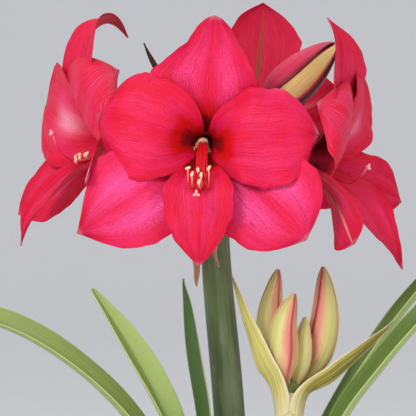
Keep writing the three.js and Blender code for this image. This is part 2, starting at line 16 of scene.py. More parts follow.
import bpy
import numpy as np
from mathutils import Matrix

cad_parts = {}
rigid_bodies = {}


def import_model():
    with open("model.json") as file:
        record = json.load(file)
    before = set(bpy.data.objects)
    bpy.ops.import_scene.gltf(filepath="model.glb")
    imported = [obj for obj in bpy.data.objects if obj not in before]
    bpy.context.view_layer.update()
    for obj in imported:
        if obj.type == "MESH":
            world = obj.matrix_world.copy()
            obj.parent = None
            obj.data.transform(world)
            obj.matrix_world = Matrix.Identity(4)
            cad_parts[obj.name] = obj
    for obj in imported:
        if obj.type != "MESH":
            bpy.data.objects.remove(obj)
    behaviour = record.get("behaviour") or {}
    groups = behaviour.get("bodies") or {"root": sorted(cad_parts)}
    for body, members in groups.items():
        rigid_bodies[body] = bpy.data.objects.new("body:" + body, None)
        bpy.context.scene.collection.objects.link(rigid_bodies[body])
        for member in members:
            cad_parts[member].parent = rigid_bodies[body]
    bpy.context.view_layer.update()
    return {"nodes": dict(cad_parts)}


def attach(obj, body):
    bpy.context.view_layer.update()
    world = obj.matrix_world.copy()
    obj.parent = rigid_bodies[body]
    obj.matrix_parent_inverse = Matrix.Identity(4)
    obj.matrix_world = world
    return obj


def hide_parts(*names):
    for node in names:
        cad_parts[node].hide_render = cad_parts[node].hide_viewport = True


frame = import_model()
print("solids in the frame:", len(frame["nodes"]))

# %% [markdown]
# ## The camera
#
# The photograph looks level at the flowers from about two arm's lengths away, so the petals in front
# are only a little larger than those behind. A wide lens close by would swell them, so a long one on
# a camera 1.6 m away is used. In the plane of the scape one pixel of the picture is 0.75 mm wide.

# %% Camera
MM = 0.001
CAMERA_AWAY = 1.6
CAMERA_SIDE = -0.024
CAMERA_HEIGHT = 0.432
PICTURE_PIXELS = 416
PIXEL_MM = 0.75
PICTURE_WIDE = PICTURE_PIXELS * PIXEL_MM * MM
SENSOR = 36.0

lens = bpy.data.cameras.new("camera")
lens.sensor_width = SENSOR
lens.lens = SENSOR * CAMERA_AWAY / PICTURE_WIDE
camera = bpy.data.objects.new("camera", lens)
camera.location = (CAMERA_SIDE, -CAMERA_AWAY, CAMERA_HEIGHT)
camera.rotation_euler = (math.pi / 2, 0, 0)
bpy.context.collection.objects.link(camera)
bpy.context.scene.camera = camera
print("lens", round(lens.lens, 1), "mm")

# %% [markdown]
# ## Sums on sockets
#
# Petals, leaves and clay are all painted with procedural nodes. Wiring nodes by hand hides what they
# work out, so a socket is wrapped in a small class whose operators add the nodes. `1 - mask` adds a
# Math node. Colours go through Mix nodes and vectors through Vector Math, since a Math node would
# turn either into one grey number. Every other node comes from `Paint.node`.

# %% A socket that can be added and multiplied
MIX_SOCKETS = {"factor": 0, "first": 6, "second": 7}

class Wire:
    """An output socket. Each operator adds the node that does the sum and gives that node's output."""

    def __init__(self, paint, socket):
        self.paint = paint
        self.socket = socket

    def combine(self, operation, *terms):
        kinds = {term.socket.type for term in terms if isinstance(term, Wire)}
        if "RGBA" in kinds:
            return self.paint.blend(*terms, 1.0, operation)
        maths = "VectorMath" if "VECTOR" in kinds else "Math"
        return self.paint.node(maths, {"operation": operation}, dict(enumerate(terms)))

    def __add__(self, other):
        return self.combine("ADD", self, other)

    def __radd__(self, other):
        return self.combine("ADD", other, self)

    def __sub__(self, other):
        return self.combine("SUBTRACT", self, other)

    def __rsub__(self, other):
        return self.combine("SUBTRACT", other, self)

    def __mul__(self, other):
        return self.combine("MULTIPLY", self, other)

    def __rmul__(self, other):
        return self.combine("MULTIPLY", other, self)

    def __abs__(self):
        return self.combine("ABSOLUTE", self)

    def most(self, other):
        return self.combine("MAXIMUM", self, other)

    def ridge(self):
        """A value's distance from the nearest whole number, 0 to 0.5: a row of even ridges."""
        return self.combine("PINGPONG", self, 0.5)

    def step(self, low, high):
        """0 below low and 1 above high, with a soft step between them; low may be the higher one."""
        settings = {"interpolation_type": "SMOOTHSTEP"}
        places = {"Value": self, "From Min": min(low, high), "From Max": max(low, high)}
        ends = {"To Min": float(low > high), "To Max": float(low <= high)}
        return self.paint.node("MapRange", settings, {**places, **ends})

print("inputs of a Mix node that are used:", MIX_SOCKETS)

# %% A material and its nodes
class Paint:
    """A material under the brush: makes nodes, and sets what the finish shows."""

    def __init__(self, name, **settings):
        self.material = bpy.data.materials.new(name)
        self.material.use_nodes = True
        self.tree = self.material.node_tree
        self.surface = self.tree.nodes["Principled BSDF"]
        self.object_place = self.node("TexCoord", {}, {}, "Object")
        for socket, value in settings.items():
            self.surface.inputs[socket.replace("_", " ")].default_value = value

    def node(self, kind, settings, inputs, output=0):
        made = self.tree.nodes.new("ShaderNode" + kind)
        for setting, value in settings.items():
            setattr(made, setting, value)
        for key, value in inputs.items():
            if isinstance(value, Wire):
                self.tree.links.new(value.socket, made.inputs[key])
            else:
                made.inputs[key].default_value = value
        return Wire(self, made.outputs[output])

    def blend(self, first, second, factor, how="MIX"):
        inputs = dict(zip(MIX_SOCKETS.values(), (factor, first, second)))
        return self.node("Mix", {"data_type": "RGBA", "blend_type": how}, inputs, 2)

    def mark(self, name):
        """A number that the mesh carries at each of its points, such as how far along a petal it is."""
        return self.node("Attribute", {"attribute_name": name}, {}, "Fac")

    def noise(self, place, scale, detail=2.0, rough=0.5):
        inputs = {"Vector": place, "Scale": scale, "Detail": detail, "Roughness": rough}
        return self.node("TexNoise", {}, inputs, 0)

    def at(self, x, y, z=0.0):
        return self.node("CombineXYZ", {}, {"X": x, "Y": y, "Z": z})

    def marks(self, *names):
        return [self.mark(name) for name in names]

    def show(self, socket, wire):
        self.tree.links.new(wire.socket, self.surface.inputs[socket])

    def relief(self, height, depth_mm):
        """Raises the finish by height, 0 to 1, times a depth in millimetres."""
        inputs = {"Height": height, "Distance": depth_mm * MM, "Strength": 1.0}
        self.show("Normal", self.node("Bump", {}, inputs))

    def finished(self):
        print(self.material.name, "is painted with", len(self.tree.nodes), "nodes")
        return self.material

def rgb(red, green, blue):
    """A colour as a paint chart gives it, 0 to 255, as the linear light that shaders add up."""
    shares = [c / 255 for c in (red, green, blue)]
    linear = [c / 12.92 if c <= 0.04045 else ((c + 0.055) / 1.055) ** 2.4 for c in shares]
    return (*linear, 1.0)

print("half grey on a paint chart is", round(rgb(128, 128, 128)[0], 3), "of white's light")

# %% [markdown]
# ## Grids of points
#
# Almost every part of a plant is a sheet or a tube: rows of points with faces between them. Modelling
# each by hand would lose the tie to the real sizes, so numpy works the points out from formulas, in
# millimetres, and one function turns them into a mesh in metres. Along with its points a mesh carries
# marks, numbers that say how far along and across the piece a point is. The paint reads those, so a
# vein follows its petal however the petal bends.

# %% Small sums on numbers and vectors
def smooth(x):
    x = np.clip(x, 0.0, 1.0)
    return x * x * (3 - 2 * x)

def lerp(a, b, t):
    return a + (b - a) * t

def unit(v):
    return v / np.maximum(np.linalg.norm(v, axis=-1, keepdims=True), 1e-9)

def spin(v, axis, degrees):
    """Turns a vector round an axis of length 1."""
    a = math.radians(degrees)
    return v * math.cos(a) + np.cross(axis, v) * math.sin(a) + axis * np.dot(axis, v) * (1 - math.cos(a))

def through(knots, s):
    """A smooth value through knots at given shares of the length."""
    value = np.full_like(np.asarray(s, float), knots[0][1])
    for (s0, v0), (s1, v1) in zip(knots, knots[1:]):
        value = np.where(s >= s0, lerp(v0, v1, smooth((s - s0) / (s1 - s0))), value)
    return value

print("a smooth step at a quarter of its way:", round(float(smooth(0.25)), 3))

# %% Pieces: a mesh that rides on the plant and stands for its solid
def piece(name, points, faces, finish, node, slot, marks=None):
    """A smooth mesh from points in millimetres, painted, in place of the solid called node."""
    mesh = bpy.data.meshes.new(name)
    faces = faces.tolist() if isinstance(faces, np.ndarray) else faces
    mesh.from_pydata((np.asarray(points) * MM).tolist(), [], faces)
    mesh.update()
    mesh.shade_smooth()
    for key, values in (marks or {}).items():
        layer = mesh.attributes.new(key, "FLOAT", "POINT")
        layer.data.foreach_set("value", np.asarray(values, np.float32).ravel())
    made = bpy.data.objects.new(name, mesh)
    made.data.materials.append(finish)
    bpy.context.collection.objects.link(made)
    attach(made, "root")
    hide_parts(node)
    return made

def quads(ids):
    """The faces of a grid of point numbers."""
    corners = (ids[:-1, :-1], ids[:-1, 1:], ids[1:, 1:], ids[1:, :-1])
    return np.stack(corners, -1).reshape(-1, 4)

def sheet(middle, thickness):
    """A thin closed sheet round a grid of middle points: its points, and its faces with a rim."""
    n, m = middle.shape[:2]
    normal = unit(np.cross(np.gradient(middle, axis=1), np.gradient(middle, axis=0)))
    half = normal * np.broadcast_to(thickness, (n, m))[..., None] / 2
    points = np.concatenate([(middle + half).reshape(-1, 3), (middle - half).reshape(-1, 3)])
    ids = np.arange(n * m).reshape(n, m)
    edge = np.concatenate([ids[0, :-1], ids[:-1, -1], ids[-1, :0:-1], ids[:0:-1, 0]])
    after = np.roll(edge, -1)
    rim = np.stack([after, edge, edge + n * m, after + n * m], -1)
    faces = np.concatenate([quads(ids), quads(ids)[:, ::-1] + n * m, rim])
    return points, faces

def full_turn(sides):
    return np.linspace(0, 2 * np.pi, sides, endpoint=False)

def oval(a, b, turn, z):
    """Points at angles round an upright axis, at half widths a along x and b along y."""
    return np.stack(np.broadcast_arrays(a * np.cos(turn), b * np.sin(turn), z), -1)

def grid(steps, across):
    """How far along a sheet its rows are, 0 to 1, and how far across its columns are, -1 to 1."""
    return np.linspace(0, 1, steps + 1)[:, None], np.linspace(-1, 1, across + 1)[None, :]

def sheet_marks(s, v, **more):
    """Marks of a sheet, the same on its inner and its outer face."""
    size = (s.size, v.size)
    marks = {"along": s, "across": v, **more}
    return {name: np.tile(np.broadcast_to(value, size).ravel(), 2) for name, value in marks.items()}

def inner_mark(s, v, outer_face=0.0):
    """1 on the inner face of a sheet, and outer_face on the other."""
    return {"inner": np.repeat([outer_face, 1.0], s.size * v.size)}

print("faces of 4 corners in a grid of 3 by 4 points:", len(quads(np.arange(12).reshape(3, 4))))

# %% Routes and tubes
ACROSS_FROM = np.array([0, 1, 0.01])

def route(points, steps):
    """A smooth path through points, evenly stepped: its places, and the direction at each of them."""
    p = np.asarray(points, float)
    p = np.vstack([2 * p[0] - p[1], p, 2 * p[-1] - p[-2]])
    dense = [span(p[k : k + 4]) for k in range(len(p) - 3)]
    line = np.vstack([*dense, p[-2:-1]])
    walked = np.concatenate([[0], np.cumsum(np.linalg.norm(np.diff(line, axis=0), axis=1))])
    wanted = walked[-1] * np.linspace(0, 1, steps + 1)
    places = np.stack([np.interp(wanted, walked, line[:, i]) for i in range(3)], -1)
    slopes = np.gradient(line, axis=0)
    return places, unit(np.stack([np.interp(wanted, walked, slopes[:, i]) for i in range(3)], -1))

SPAN_PARTS = 40

def span(four):
    """One stretch of a centripetal curve, between the middle two of four points."""
    gaps = np.maximum(np.linalg.norm(np.diff(four, axis=0), axis=1), 1e-6) ** 0.5
    t0, t1, t2, t3 = np.concatenate([[0], np.cumsum(gaps)])
    t = np.linspace(t1, t2, SPAN_PARTS, endpoint=False)[:, None]
    a = [lerp(four[i], four[i + 1], (t - t_from) / (t_to - t_from))
         for i, (t_from, t_to) in enumerate([(t0, t1), (t1, t2), (t2, t3)])]
    b = [lerp(a[0], a[1], (t - t0) / (t2 - t0)), lerp(a[1], a[2], (t - t1) / (t3 - t1))]
    return lerp(b[0], b[1], (t - t1) / (t2 - t1))

def carried(along):
    """Two directions square to a path, carried along it without twist."""
    side = unit(np.cross(ACROSS_FROM, along[0]))
    sides = []
    for direction in along:
        side = unit(side - direction * np.dot(side, direction))
        sides.append(side)
    sides = np.array(sides)
    return sides, np.cross(along, sides)

def tube(places, along, radius, sides):
    """Rings round a path: radius has a row for each place and a column for each side, or one number."""
    side, deep = carried(along)
    turn = full_turn(sides)[:, None]
    reach = np.broadcast_to(radius, (len(places), sides))[..., None]
    out = side[:, None] * np.cos(turn) + deep[:, None] * np.sin(turn)
    return places[:, None] + out * reach

def closed_tube(rings):
    """The points and faces of a stack of rings, closed by a point at each end."""
    n, sides = rings.shape[:2]
    ids = np.arange(n * sides).reshape(n, sides)
    wrapped = np.concatenate([ids, ids[:, :1]], axis=1)
    points = np.concatenate([rings.reshape(-1, 3), rings[:1].mean(1), rings[-1:].mean(1)])
    low, high = n * sides, n * sides + 1
    faces = quads(wrapped).tolist()
    faces += [[low, int(b), int(a)] for a, b in zip(wrapped[0], wrapped[0, 1:])]
    faces += [[high, int(a), int(b)] for a, b in zip(wrapped[-1], wrapped[-1, 1:])]
    return points, faces

def tube_marks(shares, sides):
    """Marks of a closed tube: how far along it each ring is, and how far round it each side is."""
    return {"along": np.append(np.repeat(shares, sides), [shares[0], shares[-1]]),
            "across": np.append(np.tile(np.arange(sides) / sides, len(shares)), [0, 0])}

def gathered(parts):
    """Several lists of points and faces as one."""
    points, faces, start = [], [], 0
    for part_points, part_faces in parts:
        points.append(part_points)
        faces += [[int(i) + start for i in face] for face in part_faces]
        start += len(part_points)
    return np.concatenate(points), faces

corner, _ = route([(0, 0, 0), (10, 0, 0), (10, 10, 0)], 20)
print("a route past a right-angled corner swings out to", round(corner[:, 0].max(), 2), "mm")

# %% [markdown]
# ## Where the flowers stand
#
# Four open trumpets look out from the head of the tall scape: one at the viewer, one to each side and
# one away. A flower is easiest to think of in its own frame, where `out` is the way it faces, and `up`
# and `right` are as its viewer sees them. The places are in millimetres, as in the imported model.

# %% Frames of the flowers
FLOWER_PLACES = {
    "front": {"base": (-26, -20, 480), "faces": -3, "nods": 0},
    "left": {"base": (-70, 22, 482), "faces": -64, "nods": 0},
    "right": {"base": (32, -5, 468), "faces": 70, "nods": 0},
    "back": {"base": (0, 40, 487), "faces": 165, "nods": -6},
}

def flower_frame(base, faces, nods):
    turn, dip = math.radians(faces), math.radians(nods)
    out = np.array([math.sin(turn) * math.cos(dip), -math.cos(turn) * math.cos(dip), -math.sin(dip)])
    right = unit(np.cross([0, 0, 1], out))
    return {"base": np.array(base, float), "right": right, "up": np.cross(out, right), "out": out}

FRAMES = {name: flower_frame(**place) for name, place in FLOWER_PLACES.items()}

def in_flower(flower, places):
    """Places given as (right, up, out) of a flower, in the plant's frame."""
    axes = np.stack([flower["right"], flower["up"], flower["out"]])
    return flower["base"] + np.asarray(places, float) @ axes

print("flowers:", ", ".join(FRAMES))

# %% [markdown]
# ## The shape of a tepal
#
# Amaryllis petals and sepals look alike, so all six are called tepals: three outer ones, and three
# inner ones that overlap them. Each grows from the tube on a narrow claw, leans out into a funnel and
# then opens or rolls back. Sculpting twenty-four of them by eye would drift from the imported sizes, so
# a tepal is walked out along its midrib. At each step the midrib turns by its lean and sway, and a
# curved section is laid across it. Low folds, a groove along the midrib and a waved margin are added
# on top, for they catch the light and make a petal look grown.

# %% Midrib and section
TUBE_R = 6.6
CLAW = 0.2
TEPAL_STEPS = 72
TEPAL_ACROSS = 36
WALK = 4

def tepal_width(s, t):
    """Half width of a tepal as a share of its widest, from claw to tip."""
    claw = lerp(CLAW, 1, np.sin(np.minimum(1, s / t["widest"]) * np.pi / 2) ** t["waist"])
    beyond = np.clip((s - t["widest"]) / (1 - t["widest"]), 0, 1)
    tip = np.maximum((1 - beyond ** t["point"]) ** t["taper"], t["blunt"] * np.sqrt(1 - beyond))
    return np.maximum(0.012, claw * tip)

def edge_wander(s, side, seed):
    """How much a margin strays from the plain outline, as a share of the half width."""
    slow = 0.04 * np.sin(7 * s + 1.7 * seed + 2 * side) + 0.022 * np.sin(15 * s + 2.3 * seed + 3 * side)
    quick = 0.01 * np.sin(39 * s + 3.1 * seed + side) + 0.006 * np.sin(77 * s + seed + 5 * side)
    return (slow + quick) * smooth((s - 0.35) / 0.25)

def tepal_midrib(flower, t):
    """The midrib's places, and at each one the directions across it and out of the inner face."""
    around = math.radians(t["around"])
    radial = flower["right"] * math.cos(around) + flower["up"] * math.sin(around)
    sideways = np.cross(flower["out"], radial)
    inset = 0 if t["inner"] else 0.9
    place = flower["base"] + 3 * flower["out"] + (TUBE_R + inset) * radial
    low, middle, high = t["lean"]
    knots = [(0, 6), (0.3, low), (0.62, middle), (1, high)]
    places, across, inward = [], [], []
    for i in range(TEPAL_STEPS * WALK + 1):
        s = i / (TEPAL_STEPS * WALK)
        angle = math.radians(float(through(knots, s)) + t["hook"] * smooth((s - 0.68) / 0.32))
        bend = smooth((s - 0.25) / 0.75)
        forward = flower["out"] * math.cos(angle) + radial * math.sin(angle)
        normal = flower["out"] * math.sin(angle) - radial * math.cos(angle)
        over = spin(sideways, normal, t["sway"] * bend)
        forward = spin(forward, normal, t["sway"] * bend)
        over = spin(over, forward, t["twist"] * bend)
        normal = spin(normal, forward, t["twist"] * bend)
        if i % WALK == 0:
            places.append(place)
            across.append(over)
            inward.append(normal)
        place = place + forward * t["length"] / (TEPAL_STEPS * WALK)
    return np.array(places), np.array(across), np.array(inward)

def curled(v, bend, roll):
    """Across and up of a section that curls by bend, and by roll more towards its margins."""
    parts = 8
    share = (np.arange(parts) + 0.5) / parts
    w = np.abs(v)[None, :, None] * share
    angle = bend[:, None, None] * w + np.where(v[None, :, None] < 0, roll[0], roll[1]) * w**3
    reach = np.abs(v) / parts
    return np.sign(v) * np.cos(angle).sum(-1) * reach, np.sin(angle).sum(-1) * reach

def tepal_surface(flower, t, seed):
    """The middle surface of a tepal, as a grid from claw to tip and from edge to edge."""
    s, v = (line.ravel() for line in grid(TEPAL_STEPS, TEPAL_ACROSS))
    places, across, inward = tepal_midrib(flower, t)
    half = t["width"] / 2 * tepal_width(s, t)
    reach = places - flower["base"]
    from_axis = np.linalg.norm(reach - np.outer(reach @ flower["out"], flower["out"]), axis=1)
    tube_cup = np.minimum(1.6, half / from_axis) * t["hug"]
    own_cup = np.radians(through([(0.45, t["cup"][0]), (1, t["cup"][1])], s))
    bend = lerp(tube_cup, own_cup, smooth((s - 0.12) / 0.4))
    rolled = smooth((s - 0.3) / 0.35)[:, None, None]
    x, z = curled(v, bend, [math.radians(roll) * rolled for roll in t["roll"]])
    margins = np.where(v < 0, edge_wander(s, 0, seed)[:, None], edge_wander(s, 1, seed)[:, None])
    half = half[:, None] * (1 + t["ragged"] * margins)
    x, z = x * half, z * half
    z = z + tepal_folds(s[:, None], v[None, :], t, seed)
    return places[:, None] + across[:, None] * x[..., None] + inward[:, None] * z[..., None]

def tepal_folds(s, v, t, seed):
    """Millimetres that the inner face rises: a midrib groove, long low folds and a waved margin."""
    grown = smooth((s - 0.12) / 0.3) * smooth((1.02 - s) / 0.25)
    groove = -1.2 * np.exp(-((v / 0.07) ** 2)) * grown
    folds = 0.8 * np.sin(10 * v + 2.5 * np.sin(3 * s + seed)) * np.sin(4 * s + 1.7 * seed) * grown
    pleats = 0.12 * np.sin(34 * v + 3 * np.sin(4 * s + seed)) * grown
    swell = 1.8 * np.sin(3.1 * v + seed) * np.sin(5 * s + 2 * seed) * grown
    tempo = 2 * np.pi * (2.6 * s + np.where(v < 0, 0.3, 0.0)) + seed
    wave = (1.0 + t["ruffle"]) * np.abs(v) ** 3 * np.sin(tempo) * smooth((s - 0.3) / 0.3)
    crinkle = np.sin(26 * s + 5 * seed + np.where(v < 0, 2.0, 0.0)) + 0.4 * np.sin(59 * s + seed)
    fine = t["crinkle"] * v**4 * crinkle * grown
    return groove + folds + pleats + swell + wave + fine

print("points on each face of a tepal:", (TEPAL_STEPS + 1) * (TEPAL_ACROSS + 1))

# %% [markdown]
# ## Petal paint
#
# A petal is not one red. The blade is crimson that turns pinker in soft patches, the veins are darker
# lines that run from claw to tip, and near the throat the two upper inner tepals carry deep maroon
# eyes. Painted shade deepens those eyes and darkens the claws in the throat, long darker streaks are
# painted shade of the pleats, and a brighter pink painted highlight lies on some blades. Some tepals
# have a pale patch or a whitish tip. The outer face is duller, with a broad greenish keel, and darker
# towards its base, partly its own colour and partly painted shade; on a few tepals it takes much of
# the blade's pink, painted light where that back lies in shade. Painting it with veins that follow
# the marks `along` and `across` keeps every line on its own petal. Fine cells and veins also go into
# the bump.

# %% Petal colours
CRIMSON = rgb(232, 14, 56)
PINK = rgb(240, 42, 112)
VEIN_RED = rgb(176, 2, 30)
# Reds of the throat: the dark eye, and painted shade on the claws and beside the filaments
THROAT_RED = rgb(214, 14, 18)
EYE_AND_SHADE_DARK = rgb(124, 14, 22)
PALE = rgb(244, 168, 190)
OUTER_RED = rgb(204, 20, 62)
# A darker red for the base of the outer face, partly its own colour and partly painted shade
OUTER_DARK_AND_SHADE = rgb(112, 16, 36)
KEEL = rgb(112, 74, 36)
KEEL_PALE = rgb(236, 168, 150)
# Brighter pink of the painted highlight
HIGHLIGHT_PINK = rgb(255, 84, 158)

def vein_lines(paint, per_side, stray):
    """Dark lines from claw to tip, wandering a little: 1 on a vein, 0 between two."""
    along, across, seed = paint.marks("along", "across", "seed")
    wander = paint.noise(paint.at(along * 3.5, across * 2.5, seed), 1.0) * stray
    return (across * per_side + wander).ridge()

def petal_paint():
    paint = Paint("petal", Roughness=0.5, Specular_IOR_Level=0.18, Subsurface_Weight=0.12,
                  Subsurface_Scale=0.003)
    along, across, seed = paint.marks("along", "across", "seed")
    patchy = paint.noise(paint.at(across * 3, along * 4, seed), 1.6, 2).step(0.3, 0.7)
    veins = vein_lines(paint, 13, 4.0).step(0.16, 0.0) * patchy
    fine = vein_lines(paint, 29, 6.0).step(0.34, 0.0)
    # Long darker red streaks along the blade, painted shade of its pleats; they also shape the eye and the
    # bump
    streaks = paint.noise(paint.at(across * 9, along * 1.1, seed), 1.3, 4, 0.6).step(0.36, 0.64)
    clouds = paint.noise(paint.at(along * 3, across * 1.6, seed), 1.5, 3).step(0.35, 0.68)
    pinkness = clouds * 0.5 + paint.mark("pink") * 0.6 - fine * 0.2
    blade = paint.blend(CRIMSON, PINK, pinkness.most(0))
    speckle = paint.noise(paint.object_place, 900, 2).step(0.42, 0.66)
    # A painted highlight: brighter pink where the tepal's highlight mark lies, sparkling with the speckle
    glow = (paint.mark("glow") * (0.55 + speckle * 0.5 - fine * 0.3)).most(0)
    blade = paint.blend(blade, HIGHLIGHT_PINK, glow)
    lines = veins * 0.3 + fine * (0.16 + patchy * 0.14)
    blade = paint.blend(blade, VEIN_RED, streaks * 0.16 + lines + (1 - speckle) * 0.08)
    white_lines = vein_lines(paint, 12, 3.0).step(0.22, 0.0) * paint.mark("streaked") * patchy * 0.3
    blade = paint.blend(blade, PALE, white_lines.most(paint.mark("pale") * (0.75 + speckle * 0.25)))
    # The mark read here is the eye together with painted shade: on the claws in the throat, in the gaps
    # beside the filaments and where a tepal dips into the throat
    eye = paint.mark("eye") * (0.88 + fine * 0.2 + streaks * 0.12)
    blade = paint.blend(blade, THROAT_RED, eye.step(0.12, 0.4) * 0.95)
    blade = paint.blend(blade, EYE_AND_SHADE_DARK, eye.step(0.68, 1.0) * 0.92)
    keel = abs(across).step(0.09, 0.02) * (along.step(0.98, 0.3) + paint.mark("keeled")).step(0.0, 1.0)
    outer = paint.blend(OUTER_RED, VEIN_RED, veins * 0.7 + fine * 0.2)
    # The outer face darker towards its base, partly its own colour and partly painted shade
    outer = paint.blend(outer, OUTER_DARK_AND_SHADE, along.step(0.5, 0.12) * 0.75)
    paler = along.step(0.5, 0.85) * paint.mark("pale_keel")
    keel_colour = paint.blend(KEEL, KEEL_PALE, paler)
    # Where a tepal's outer face is marked, it takes part of the blade's colour: painted light on a back that
    # lies in shade
    colour = paint.blend(outer, blade, paint.mark("inner"))
    keeled = keel * (1 - paint.mark("inner").step(0.85, 1.0)) * 0.75
    paint.show("Base Color", paint.blend(colour, keel_colour, keeled))
    paint.show("Roughness", 0.56 - fine * 0.06 - clouds * 0.05)
    cells = paint.noise(paint.object_place, 1300, 1)
    paint.relief(cells * 0.5 - veins * 0.4 - fine * 0.35 - streaks * 0.5, 0.35)
    return paint.finished()

PETAL = petal_paint()

# %% [markdown]
# ## The front flower's tepals and the others'
#
# Each entry of the table is one tepal. `around` is where it stands round the flower, and `lean` is its
# midrib's angle from the flower's axis in the funnel, at mid blade and at the tip; `hook`, `sway` and
# `twist` turn the blade further. `cup` curls its section forward, at mid blade and at the tip, and
# `roll` its margins. `widest`, `point`, `taper`, `waist` and `blunt` set the outline, `ruffle`,
# `crinkle` and `ragged` the margin. The rest says how much of a colour it gets. `eye` is the
# dark eye, deepened by painted shade; `gaps` is painted shade beside the filaments, and `dip_shade`
# painted shade where a tepal dips into the throat. `highlight` is a painted pink highlight, and
# `patch`, `pink`, `streaked` and `whitened` light the blade. `keeled`, `pale_keel` and `rosy` are for
# the outer face, and `rosy` gives it the blade's pink as painted light where it lies in shade. What an
# entry leaves out has its usual value.
# One shape for all would be shorter, but no two tepals of a real flower open alike.

# %% Table of tepals
TEPAL_USUAL = {
    "inner": False, "hook": 0, "sway": 0, "twist": 0, "hug": 1, "roll": (0, 0), "widest": 0.62,
    "point": 2.2, "taper": 1.0, "waist": 1.8, "blunt": 0.16, "ruffle": 0, "crinkle": 0.45, "ragged": 1,
    "eye": 0, "eye_aside": 0, "gaps": 0, "dip_shade": (0, 0), "patch": 0, "pink": 0, "glow": 0.3,
    "streaked": 0, "whitened": 0, "keeled": 0, "pale_keel": 1, "rosy": 0.0,
}
TEPALS = {
    "front": {
        "top_outer": {"around": 84, "length": 104, "width": 84, "lean": (50, 82, 84), "cup": (6, 0),
                      "ruffle": 3.2, "widest": 0.5, "point": 1.3, "taper": 1.1, "waist": 2.2,
                      "crinkle": 0.8, "ragged": 1.6, "blunt": 0.7,
                      "pink": 0.3, "glow": 0.8, "dip_shade": (0.42, 0.27)},
        "low_left_outer": {"around": 222, "length": 126, "width": 74, "lean": (58, 84, 80),
                           "cup": (0, 8), "sway": -13, "point": 2, "taper": 1.1, "waist": 2.2,
                           "pink": 0.3, "glow": 1.6},
        "low_right_outer": {"around": 320, "length": 116, "width": 80, "lean": (58, 84, 84),
                            "cup": (0, 0), "sway": -8, "point": 3.2, "waist": 2.2, "pink": 0.4,
                            "glow": 1.6},
        "left_inner": {"around": 165, "length": 107, "width": 78, "lean": (30, 90, 142),
                       "cup": (-2, -34), "inner": True, "point": 3.6, "hug": 1.2, "waist": 2.1,
                       "widest": 0.58, "eye": 1.0, "ruffle": 0.8},
        "right_inner": {"around": 3, "length": 110, "width": 70, "lean": (30, 88, 126),
                        "cup": (-2, -34), "inner": True, "point": 4.6, "hug": 1.2, "waist": 2.1,
                        "widest": 0.58, "eye": 0.98, "eye_aside": -0.16, "pink": 0.25,
                        "ruffle": 2.2, "crinkle": 1.2, "ragged": 1.5},
        "bottom_inner": {"around": 269, "length": 117, "width": 51, "lean": (28, 80, 84),
                         "cup": (4, -10), "inner": True, "point": 2.4, "waist": 5, "widest": 0.57,
                         "ruffle": 0.8, "ragged": 2.2, "gaps": 1.0, "dip_shade": (0.5, 0.42)},
    },
    "left": {
        "top_outer": {"around": 94, "length": 142, "width": 62, "lean": (50, 104, 165), "hook": 70,
                      "cup": (20, 20), "point": 1.6, "taper": 1.2},
        "far_outer": {"around": 220, "length": 114, "width": 50, "lean": (42, 56, 64),
                      "cup": (12, 10), "point": 3},
        "near_outer": {"around": 338, "length": 106, "width": 40, "lean": (38, 50, 60), "cup": (8, 0),
                       "keeled": -1.0, "whitened": 1.0, "rosy": 0.9},
        "far_inner": {"around": 146, "length": 118, "width": 78, "lean": (16, 88, 112), "sway": 24,
                      "cup": (16, 0), "inner": True, "point": 3, "patch": 0.85},
        "near_inner": {"around": 53, "length": 122, "width": 82, "lean": (12, 80, 204),
                       "cup": (-6, -40), "inner": True, "point": 3.0, "ruffle": 1.5, "sway": 6,
                       "streaked": 0.7},
        "bottom_inner": {"around": 267, "length": 130, "width": 36, "lean": (20, 44, 44), "hook": 34,
                         "cup": (30, 20), "inner": True, "point": 1.5, "keeled": -1.0, "rosy": 0.6},
    },
    "right": {
        "top_outer": {"around": 96, "length": 124, "width": 62, "lean": (50, 88, 82), "hook": 44,
                      "twist": -8, "cup": (16, 20), "point": 1.6, "taper": 1.2},
        "far_outer": {"around": 334, "length": 100, "width": 48, "lean": (36, 46, 72),
                      "cup": (12, 10), "point": 2.4},
        "near_outer": {"around": 239, "length": 95, "width": 42, "lean": (38, 61, 63),
                       "cup": (12, 6), "point": 6.0, "twist": -50, "keeled": 1.0, "rosy": 0.8,
                       "glow": 0.6},
        "far_inner": {"around": 58, "length": 110, "width": 54, "lean": (24, 88, 110),
                      "cup": (20, 10), "inner": True, "point": 3, "patch": 0.5},
        "near_inner": {"around": 137, "length": 104, "width": 74, "lean": (9, 73, 172),
                       "cup": (0, -30), "inner": True, "point": 3.4, "streaked": 0.7},
        "bottom_inner": {"around": 287, "length": 122, "width": 54, "lean": (28, 60, 68),
                         "cup": (10, 10), "inner": True, "point": 1.5, "taper": 1.3, "roll": (0, 50)},
    },
    "back": {
        "top_outer": {"around": 93, "length": 126, "width": 60, "lean": (40, 72, 84), "cup": (16, 6),
                      "ruffle": 3, "point": 3.2, "blunt": 0.5, "crinkle": 1.4, "ragged": 1.6,
                      "keeled": 0.4, "pale_keel": 0.0},
        "left_outer": {"around": 212, "length": 120, "width": 72, "lean": (44, 72, 90), "cup": (12, 4)},
        "right_outer": {"around": 330, "length": 112, "width": 72, "lean": (44, 72, 100),
                        "cup": (12, 4)},
        "left_inner": {"around": 156, "length": 108, "width": 66, "lean": (18, 78, 120),
                       "cup": (8, -10), "inner": True, "point": 3, "eye": 0.9},
        "right_inner": {"around": 28, "length": 106, "width": 66, "lean": (18, 84, 130),
                        "cup": (8, -10), "inner": True, "point": 3, "eye": 0.9},
        "bottom_inner": {"around": 272, "length": 108, "width": 54, "lean": (18, 74, 96),
                         "cup": (10, 0), "inner": True},
    },
}
LENGTHS = [t["length"] for tepals in TEPALS.values() for t in tepals.values()]
print("tepals are", min(LENGTHS), "to", max(LENGTHS), "mm long")

# %% Grow the tepals
TEPAL_THICK = 0.8
CLAW_THICK = 1.5

